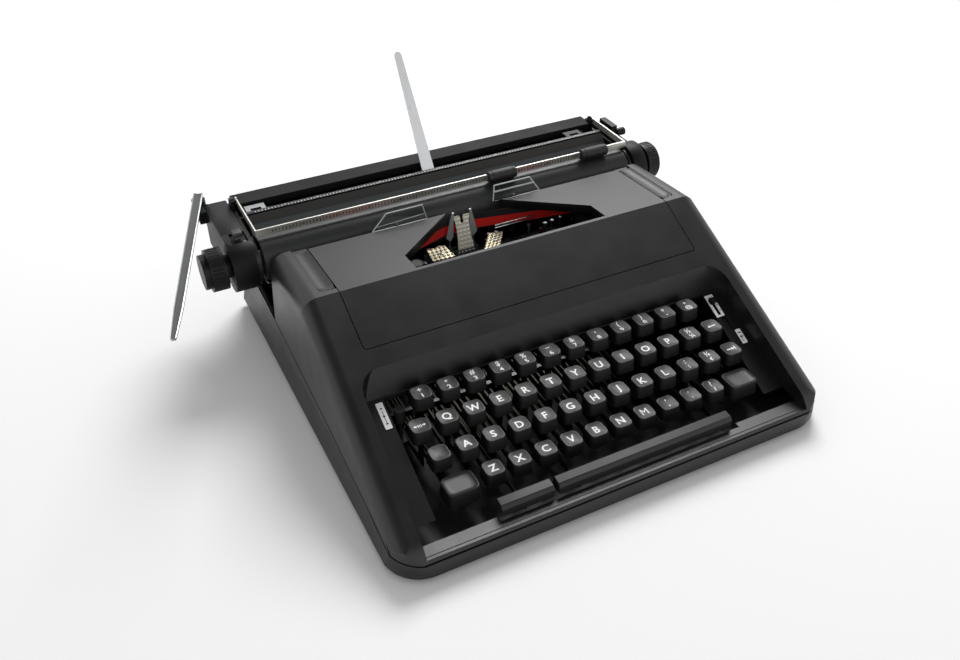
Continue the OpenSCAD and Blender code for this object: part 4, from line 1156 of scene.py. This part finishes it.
    def gauges(self) -> None:
        """Makes the embossed faces of the two plates beside the guide, each with its screw.

        A grid point at shares s and t is the two-way blend of the plate's four corners.
        """
        tilt, up = math.radians(6), 1.5
        shape = Shape("gauge_plate_faces", (EMBOSSED, ZINC, TRIM_ABS))
        for corners in (((-44.4, -0.9), (-26.2, -1.5), (-28.5, 13.6), (-43.1, 13.2)),
                        ((-3.3, -2.9), (10.9, -2.3), (20.4, 11.8), (8.8, 13.4))):
            a, b, c, d = np.array(corners)
            s, t = np.linspace(0, 1, 60)[None, :, None], np.linspace(0, 1, 52)[:, None, None]
            flat = (1 - t) * ((1 - s) * a + s * b) + t * ((1 - s) * d + s * c)
            grid = on_slope(flat[..., 0], flat[..., 1], up, self.gauge_foot, tilt)
            self.embossed(shape, grid, (0, -math.sin(tilt), math.cos(tilt)), None, 3.4, 0.5)
            x, y, z = grid[24, 34]
            # The screw's socket is drawn as a flat black disc on its head: painted shade for the
            # hollow of the socket.
            head, socket_shade = ((-0.2, 1.7), (0.45, 1.6), (0.7, 1.1)), ((0.5, 0.7), (0.78, 0.7))
            for profile, sides, slot in ((head, 20, 1), (socket_shade, 12, 2)):
                lifted = np.array(profile) + [z, 0]
                shape.rings(turned(lifted, (x, y, 0), 2, sides), slot)
        for x0, x1, posts in ((-43.0, -27.0, (-41.0, -32.0)), (8.6, 21.0, (10.0, 16.5))):
            shape.block((x0, 77.6, 52), (x1, 79.2, 68), 0.3, 1)
            for x in posts:
                shape.blocks(((x, x + 3, 77.6, 79.2, 24, 54), (x, x + 3, 72, 79.2, 66, 73)), 0.3, 1)
        shape.finish("machine_body", "gauge_plates", 40.0)

    def card_edges(self) -> None:
        """Makes the bright edges and the folded line of both clear card holders.

        A point of a holder at place x and height v along its lean lies v cos 78 degrees
        behind its foot and v sin 78 degrees above it.
        """
        lean = math.radians(78)
        shape = Shape("card_holder_edges", (ACRYLIC_EDGE,))
        for line, radius in ((((-80.6, 0.3), (-68.3, 11.3), (-39.8, 11.3), (-37.3, 0.3)), 0.42),
                             (((-77.5, 2.8), (-38.6, 4.4)), 0.3),
                             (((18.3, 0.3), (20.2, 12.3), (50.8, 12.3), (58.6, 0.3)), 0.55),
                             (((19.4, 7.4), (54.4, 7.4)), 0.75)):
            flat = np.array(line)
            path = on_slope(flat[:, 0], flat[:, 1], 0.0, self.holder_foot, lean)
            for one, two in zip(path[:-1], path[1:]):
                shape.rings(tube(np.stack([one, (one + two) / 2, two]), radius, 8))
        shape.finish("machine_body")

    def labels(self) -> None:
        """Makes the three labels on the deck with plain printed marks.

        A place at distance t up the deck from the front strip lies t cos 24 degrees back and
        t sin 24 degrees up from the strip's rear edge.
        """
        lean = math.radians(24)
        shape = Shape("deck_label_set", (PAPER, BAIL_INK))

        def patch(ends: Floats, low: float, high: float, slot: int) -> None:
            """Adds a flat patch.

            Args:
                ends: Lowest and highest X, then Y.
                low: Height of its underside over the deck.
                high: Height of its upper face over the deck.
                slot: Number of the finish.
            """
            x0, x1, y0, y1 = ends
            ring = round_rect((x1 - x0) / 2, (y1 - y0) / 2, min(0.6, (x1 - x0) * 0.4), 5)[0]
            x, along = ring[:, 0] + (x0 + x1) / 2, ring[:, 1] + (y0 + y1) / 2 - self.deck_foot[0]
            shape.rings(np.stack([on_slope(x, along / math.cos(lean), level, self.deck_foot, lean)
                                  for level in (low, high)]), slot)

        # Each patch of paper with its printed strokes: the left label, the four sides of
        # the frame round the ribbon selector and the small label on the right.
        for ends, marks in (
                ((-133.4, -128.6, -61.4, -44.0),
                 ((-131.9, -130.1, -48.4, -47.6), (-131.9, -130.1, -53.4, -52.6),
                  (-131.2, -130.8, -57.6, -49.6), (-131.9, -130.1, -58.4, -57.6))),
                ((132.3, 134.6, -61.4, -44.0),
                 ((132.8, 134.1, -49.0, -48.3), (132.8, 134.1, -53.0, -52.3),
                  (132.8, 134.1, -57.0, -56.3), (133.1, 133.6, -46.8, -45.4))),
                ((127.6, 132.3, -46.0, -44.0), ()), ((127.6, 132.3, -61.4, -60.0), ()),
                ((127.6, 129.8, -60.0, -46.0), ()),
                ((134.9, 139.3, -84.5, -73.5),
                 ((135.7, 138.5, -76.6, -75.9), (135.7, 138.5, -79.6, -78.9),
                  (136.4, 136.9, -83.0, -78.0)))):
            patch(ends, 0.0, 0.36, 0)
            for mark in marks:
                patch(mark, 0.3, 0.42, 1)
        shape.finish("machine_body", "deck_labels")

    def under_cover(self) -> None:
        """Makes the small bright parts that show through the opening: a rail, screws and a spring.

        The spring's wire turns about a straight line: a point at turn t lies its radius
        times (cos t, sin t) off the line.
        """
        shape = Shape("opening_details", (ZINC, PASSIVATED))
        for low, high, radius in ((79.6, 80.4, 0.2), (77.4, 77.9, 0.15)):
            shape.block((15.5, 75.2, low), (50.3, 76.0, high), radius)
        # Each screw has a shank of 0.6 of its head's radius and a head 1.5 mm high.
        screw = np.array([[-6, 0.6], [0, 0.6], [0.1, 1], [1.1, 1], [1.5, 0.7]])
        for x, y, z, radius in ((46.1, 76.0, 71.6, 1.5), (60.8, 76.0, 68.8, 1.9),
                                (67.1, 76.0, 69.6, 1.7), (54.8, 72.0, 68.2, 1.5),
                                (75.8, 78.0, 69.2, 1.2), (-50.9, 58.6, 74.6, 1.3)):
            shape.rings(turned(screw * [1, radius] + [z, 0], (x, y, 0), 2, 20))
        turn = np.linspace(0, 2 * np.pi * 6, 121)
        line = np.linspace([86.5, 70.0, 65.3], [91.8, 70.0, 73.9], 121)
        side, up = np.array([0.0, 1.0, 0.0]), np.array([0.85, 0.0, -0.52])
        wire = line + 1.5 * (np.cos(turn)[:, None] * side + np.sin(turn)[:, None] * up)
        shape.rings(tube(wire, 0.42, 8), 1)
        shape.finish("machine_body")

    def ribbon(self) -> None:
        """Makes the two coloured bands of the ribbon along its path.

        Each band is a ring of four corners carried along the path, a hair thicker than
        paper; the corners lie at the lower and upper edge of the band on both faces.
        """
        key = np.array(self.path)
        t = np.linspace(0, len(key) - 1, 61)
        line = np.stack([np.interp(t, np.arange(len(key)), key[:, i]) for i in range(3)], -1)
        slope = np.gradient(line[:, :2], axis=0)
        slope /= np.linalg.norm(slope, axis=1, keepdims=True)
        normal = np.stack([-slope[:, 1], slope[:, 0]], -1)
        shape = Shape("ribbon_bands", (RIBBON_RED, RIBBON_BLACK))
        for slot, (low, high) in enumerate(((0.0, self.red), (self.red, self.web))):
            shape.rings(np.stack([
                np.column_stack([line[:, :2] + normal * self.half_cloth * side, line[:, 2] + lift])
                for side, lift in ((-1, low), (1, low), (1, high), (-1, high))], 1), slot)
        shape.finish("machine_body", "ribbon")


@dataclass
class ShellTrim:
    """Fine forms: the scoops beside the cover, the lines along the front, the cover's flange."""

    crease_y: float = 17.5
    rim_z: float = 101.7
    floor_z: float = 100.2
    slope: float = math.radians(4.2)
    middle: float = 136.3
    half: float = 5.6
    depth: float = 1.42
    start: float = 4.7
    turn: float = 12.5
    end: float = 64.0

    def build(self) -> None:
        """Makes every piece of trim."""
        for name, side in (("left", -1), ("right", 1)):
            self.scoop(name, side)
        self.front_lines()
        self.flange()

    def flange(self) -> None:
        """Makes the flange that hangs under the rim of the opening in the cover.

        Each length stands over one straight side of the opening, one wall thickness
        outside it, and follows the slope of the cover.
        """
        corners = np.array([[-74.0, 21.5], [-74.0, 40.0], [-21.0, 84.0],
                            [23.0, 84.0], [78.0, 40.0], [78.0, 21.5]])
        shape = Shape("cover_opening_flange", (TRIM_ABS, SPOOL))
        # The rear side of the opening, between the third and fourth corners, is bare.
        for i in (0, 1, 3, 4):
            one, two = corners[i:i + 2]
            step = (two - one) / np.linalg.norm(two - one)
            out = np.array([-step[1], step[0]]) * 1.3
            tops = self.rim_z - (np.array([one[1], two[1]]) - self.crease_y) * math.tan(self.slope)
            ring = np.array([[(*(end + out * shift), top - drop) for shift, drop in
                              ((0.05, 0.4), (1.0, 0.9), (1.0, 7.0), (0.05, 7.0))]
                             for end, top in zip((one, two), tops)])
            shape.rings(ring)
        disc = ((100.3, 4.7), (100.6, 4.6), (100.7, 4.3), (100.45, 3.9))
        shape.rings(turned(disc, (-70.8, 27.0, 0), 2, 36), 1)
        shape.finish("cover")

    def scoop(self, name: str, side: int) -> None:
        """Makes the dished floor of a finger recess.

        At share u across and share v of the way into the round front end, the floor rises
        by the depth times u squared plus v squared, up to the depth itself.

        Args:
            name: Name of the side.
            side: Minus one for the left, one for the right.
        """
        along = np.concatenate([np.linspace(self.start, self.turn, 14),
                                np.linspace(self.turn + 3, self.end, 24)])[:, None]
        share = np.linspace(-1, 1, 21)
        inward = np.clip((self.turn - along) / (self.turn - self.start), 0, 1)
        rise = np.minimum(self.depth * (share ** 2 + inward ** 2), self.depth)
        reach = self.half * np.sqrt(np.maximum(1 - 0.9 * inward ** 2, 0.05))
        # The floor from side to side, then the flat underside back again.
        across = np.concatenate([share, share[::-1]])
        high = np.concatenate([rise, np.full_like(rise, 0.02)], 1)
        stack = on_slope(side * self.middle + reach * across, along, high,
                         (self.crease_y, self.floor_z), -self.slope)
        shape = Shape(f"finger_scoop_{name}", (SHELL_ABS,))
        shape.rings(stack)
        shape.finish("machine_body", sharp=60.0)

    def front_lines(self) -> None:
        """Makes the two fine raised lines along the front edge of the shell."""
        shape = Shape("front_lines", (SHELL_ABS,))
        for y, radius in ((-145.2, 0.45), (-142.6, 0.35)):
            path = np.array([[-143.6, y, 17.5], [0.0, y, 17.5], [143.6, y, 17.5]])
            shape.rings(tube(path, radius))
        shape.finish("machine_body")


class Studio:
    """Camera, lamps, world and floor. None of them is part of the object."""

    FOCAL_PX = 933.39
    IMAGE_WIDTH = 960
    SENSOR_MM = 36.0

    def build(self) -> None:
        """Sets up the whole studio."""
        bpy.context.scene.view_settings.view_transform = "Standard"
        self.camera()
        self.world()
        self.lamps()
        self.floor()

    def camera(self) -> None:
        """Puts the camera where the photograph was taken from."""
        data = bpy.data.cameras.new("view")
        data.sensor_width, data.sensor_fit = self.SENSOR_MM, "HORIZONTAL"
        data.lens = self.FOCAL_PX * self.SENSOR_MM / self.IMAGE_WIDTH
        data.clip_start, data.clip_end = 0.01, 50.0
        camera = new_object("view", data)
        right = (0.8907758, -0.4544112, 0.0053749)
        up = (0.2757990, 0.5499696, 0.7883327)
        back = (-0.3611832, -0.7007453, 0.6152257)
        spot = to_frame(np.array([-275.5784, -465.4882, 457.5935]))
        camera.matrix_world = axes_matrix(right, up, back, spot)
        bpy.context.scene.camera = camera

    def world(self) -> None:
        """A bright studio: white round the horizon and dimmer overhead in reflections."""
        world = bpy.data.worlds.new("studio")
        tree = blank_tree(world)
        rays = add(tree, "LightPath").outputs
        seen = add(tree, "Math", {0: rays["Is Camera Ray"], 1: rays["Is Transmission Ray"]},
                   operation="MAXIMUM")
        shown = add(tree, "Math", {0: seen.outputs[0], 1: rays["Is Glossy Ray"]},
                    operation="MAXIMUM")
        where = add(tree, "TexCoord").outputs["Generated"]
        height = add(tree, "SeparateXYZ", {0: where}).outputs[2]
        level = add(tree, "MapRange", {0: height, 1: 0.5, 2: 0.86, 3: 1.0, 4: 0.1},
                    interpolation_type="SMOOTHSTEP")
        backdrop = add(tree, "Background",
                       {"Color": (1.0, 1.0, 1.0, 1.0), "Strength": level.outputs[0]})
        light = add(tree, "Background", {"Color": (1.0, 1.0, 1.0, 1.0), "Strength": 0.48})
        mixed = add(tree, "MixShader",
                    {0: shown.outputs[0], 1: light.outputs[0], 2: backdrop.outputs[0]})
        add(tree, "OutputWorld", {"Surface": mixed.outputs[0]})
        bpy.context.scene.world = world

    def lamps(self) -> None:
        """Two large soft lamps, one behind on the right and one in front."""
        for name, spot, size, power in (("rear_lamp", (0.9, 1.2, 1.65), 1.2, 38.0),
                                        ("front_lamp", (-0.3, -1.8, 1.3), 1.4, 1.5)):
            data = bpy.data.lights.new(name, "AREA")
            data.shape, data.size, data.energy = "DISK", size, power
            back = np.array(spot) / np.linalg.norm(spot)
            side = np.cross([0.0, 0.0, 1.0], back)
            side /= np.linalg.norm(side)
            lamp = new_object(name, data)
            lamp.matrix_world = axes_matrix(side, np.cross(back, side), back, spot)

    def floor(self) -> None:
        """A round white floor that keeps the shadow and fades to the backdrop."""
        angle = np.linspace(0, 2 * np.pi, 96, endpoint=False)
        points = 4.0 * np.stack([np.cos(angle), np.sin(angle), 0 * angle], -1)
        mesh = bpy.data.meshes.new("floor")
        mesh.from_pydata(points, [], [list(range(96))])
        floor = new_object("floor", mesh)
        material = bpy.data.materials.new("white_paper_sweep")
        tree = blank_tree(material)
        where = add(tree, "TexCoord").outputs["Object"]
        out = add(tree, "VectorMath", {0: where}, operation="LENGTH").outputs["Value"]
        fade = add(tree, "MapRange", {0: out, 1: 0.45, 2: 0.95, 3: 0.0, 4: 1.0},
                   interpolation_type="SMOOTHSTEP")
        fibre = add(tree, "TexNoise", {"Vector": where, "Scale": 400.0})
        tone = add(tree, "Mix", {0: fibre.outputs[0], 6: (0.97, 0.97, 0.97, 1),
                                 7: (0.99, 0.99, 0.99, 1)}, data_type="RGBA")
        matt = add(tree, "BsdfDiffuse", {"Color": tone.outputs[2]})
        glow = add(tree, "Emission", {"Color": (1, 1, 1, 1), "Strength": 1.0})
        mixed = add(tree, "MixShader", {0: fade.outputs[0], 1: matt.outputs[0], 2: glow.outputs[0]})
        add(tree, "OutputMaterial", {"Surface": mixed.outputs[0]})
        mesh.materials.append(material)


def dress_nodes() -> None:
    """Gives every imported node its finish."""
    for name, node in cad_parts.items():
        material = NODE_FINISH[name].make()
        if not node.data.materials:
            node.data.materials.append(material)
        for i in range(len(node.data.materials)):
            node.data.materials[i] = material


def ease_edges(name: str, width: float, angle: float = 35.0) -> None:
    """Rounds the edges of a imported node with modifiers.

    Args:
        name: The node.
        width: Width of the rounding in millimetres.
        angle: Edges that turn more than this many degrees are rounded.
    """
    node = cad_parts[name]
    weld = node.modifiers.new("weld", "WELD")
    weld.merge_threshold = 1e-5
    bevel = node.modifiers.new("ease", "BEVEL")
    bevel.width, bevel.segments, bevel.limit_method = width * MM, 2, "ANGLE"
    bevel.angle_limit = math.radians(angle)
    bevel.use_clamp_overlap, bevel.harden_normals = True, False


def main() -> None:
    """Builds the studio and every piece in order."""
    logging.basicConfig(level=logging.INFO, format="%(name)s: %(message)s")
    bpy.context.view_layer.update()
    Studio().build()
    dress_nodes()
    for name, width in (("ribbon_cover", 0.3), ("rear_cover", 0.8), ("lower_housing", 0.9),
                        ("housing_left", 0.8), ("housing_right", 0.8), ("base_pan", 0.6)):
        ease_edges(name, width)
    Keyboard().build()
    Carriage().build()
    Printing().build()
    ShellTrim().build()


if __name__ == "__main__":
    main()
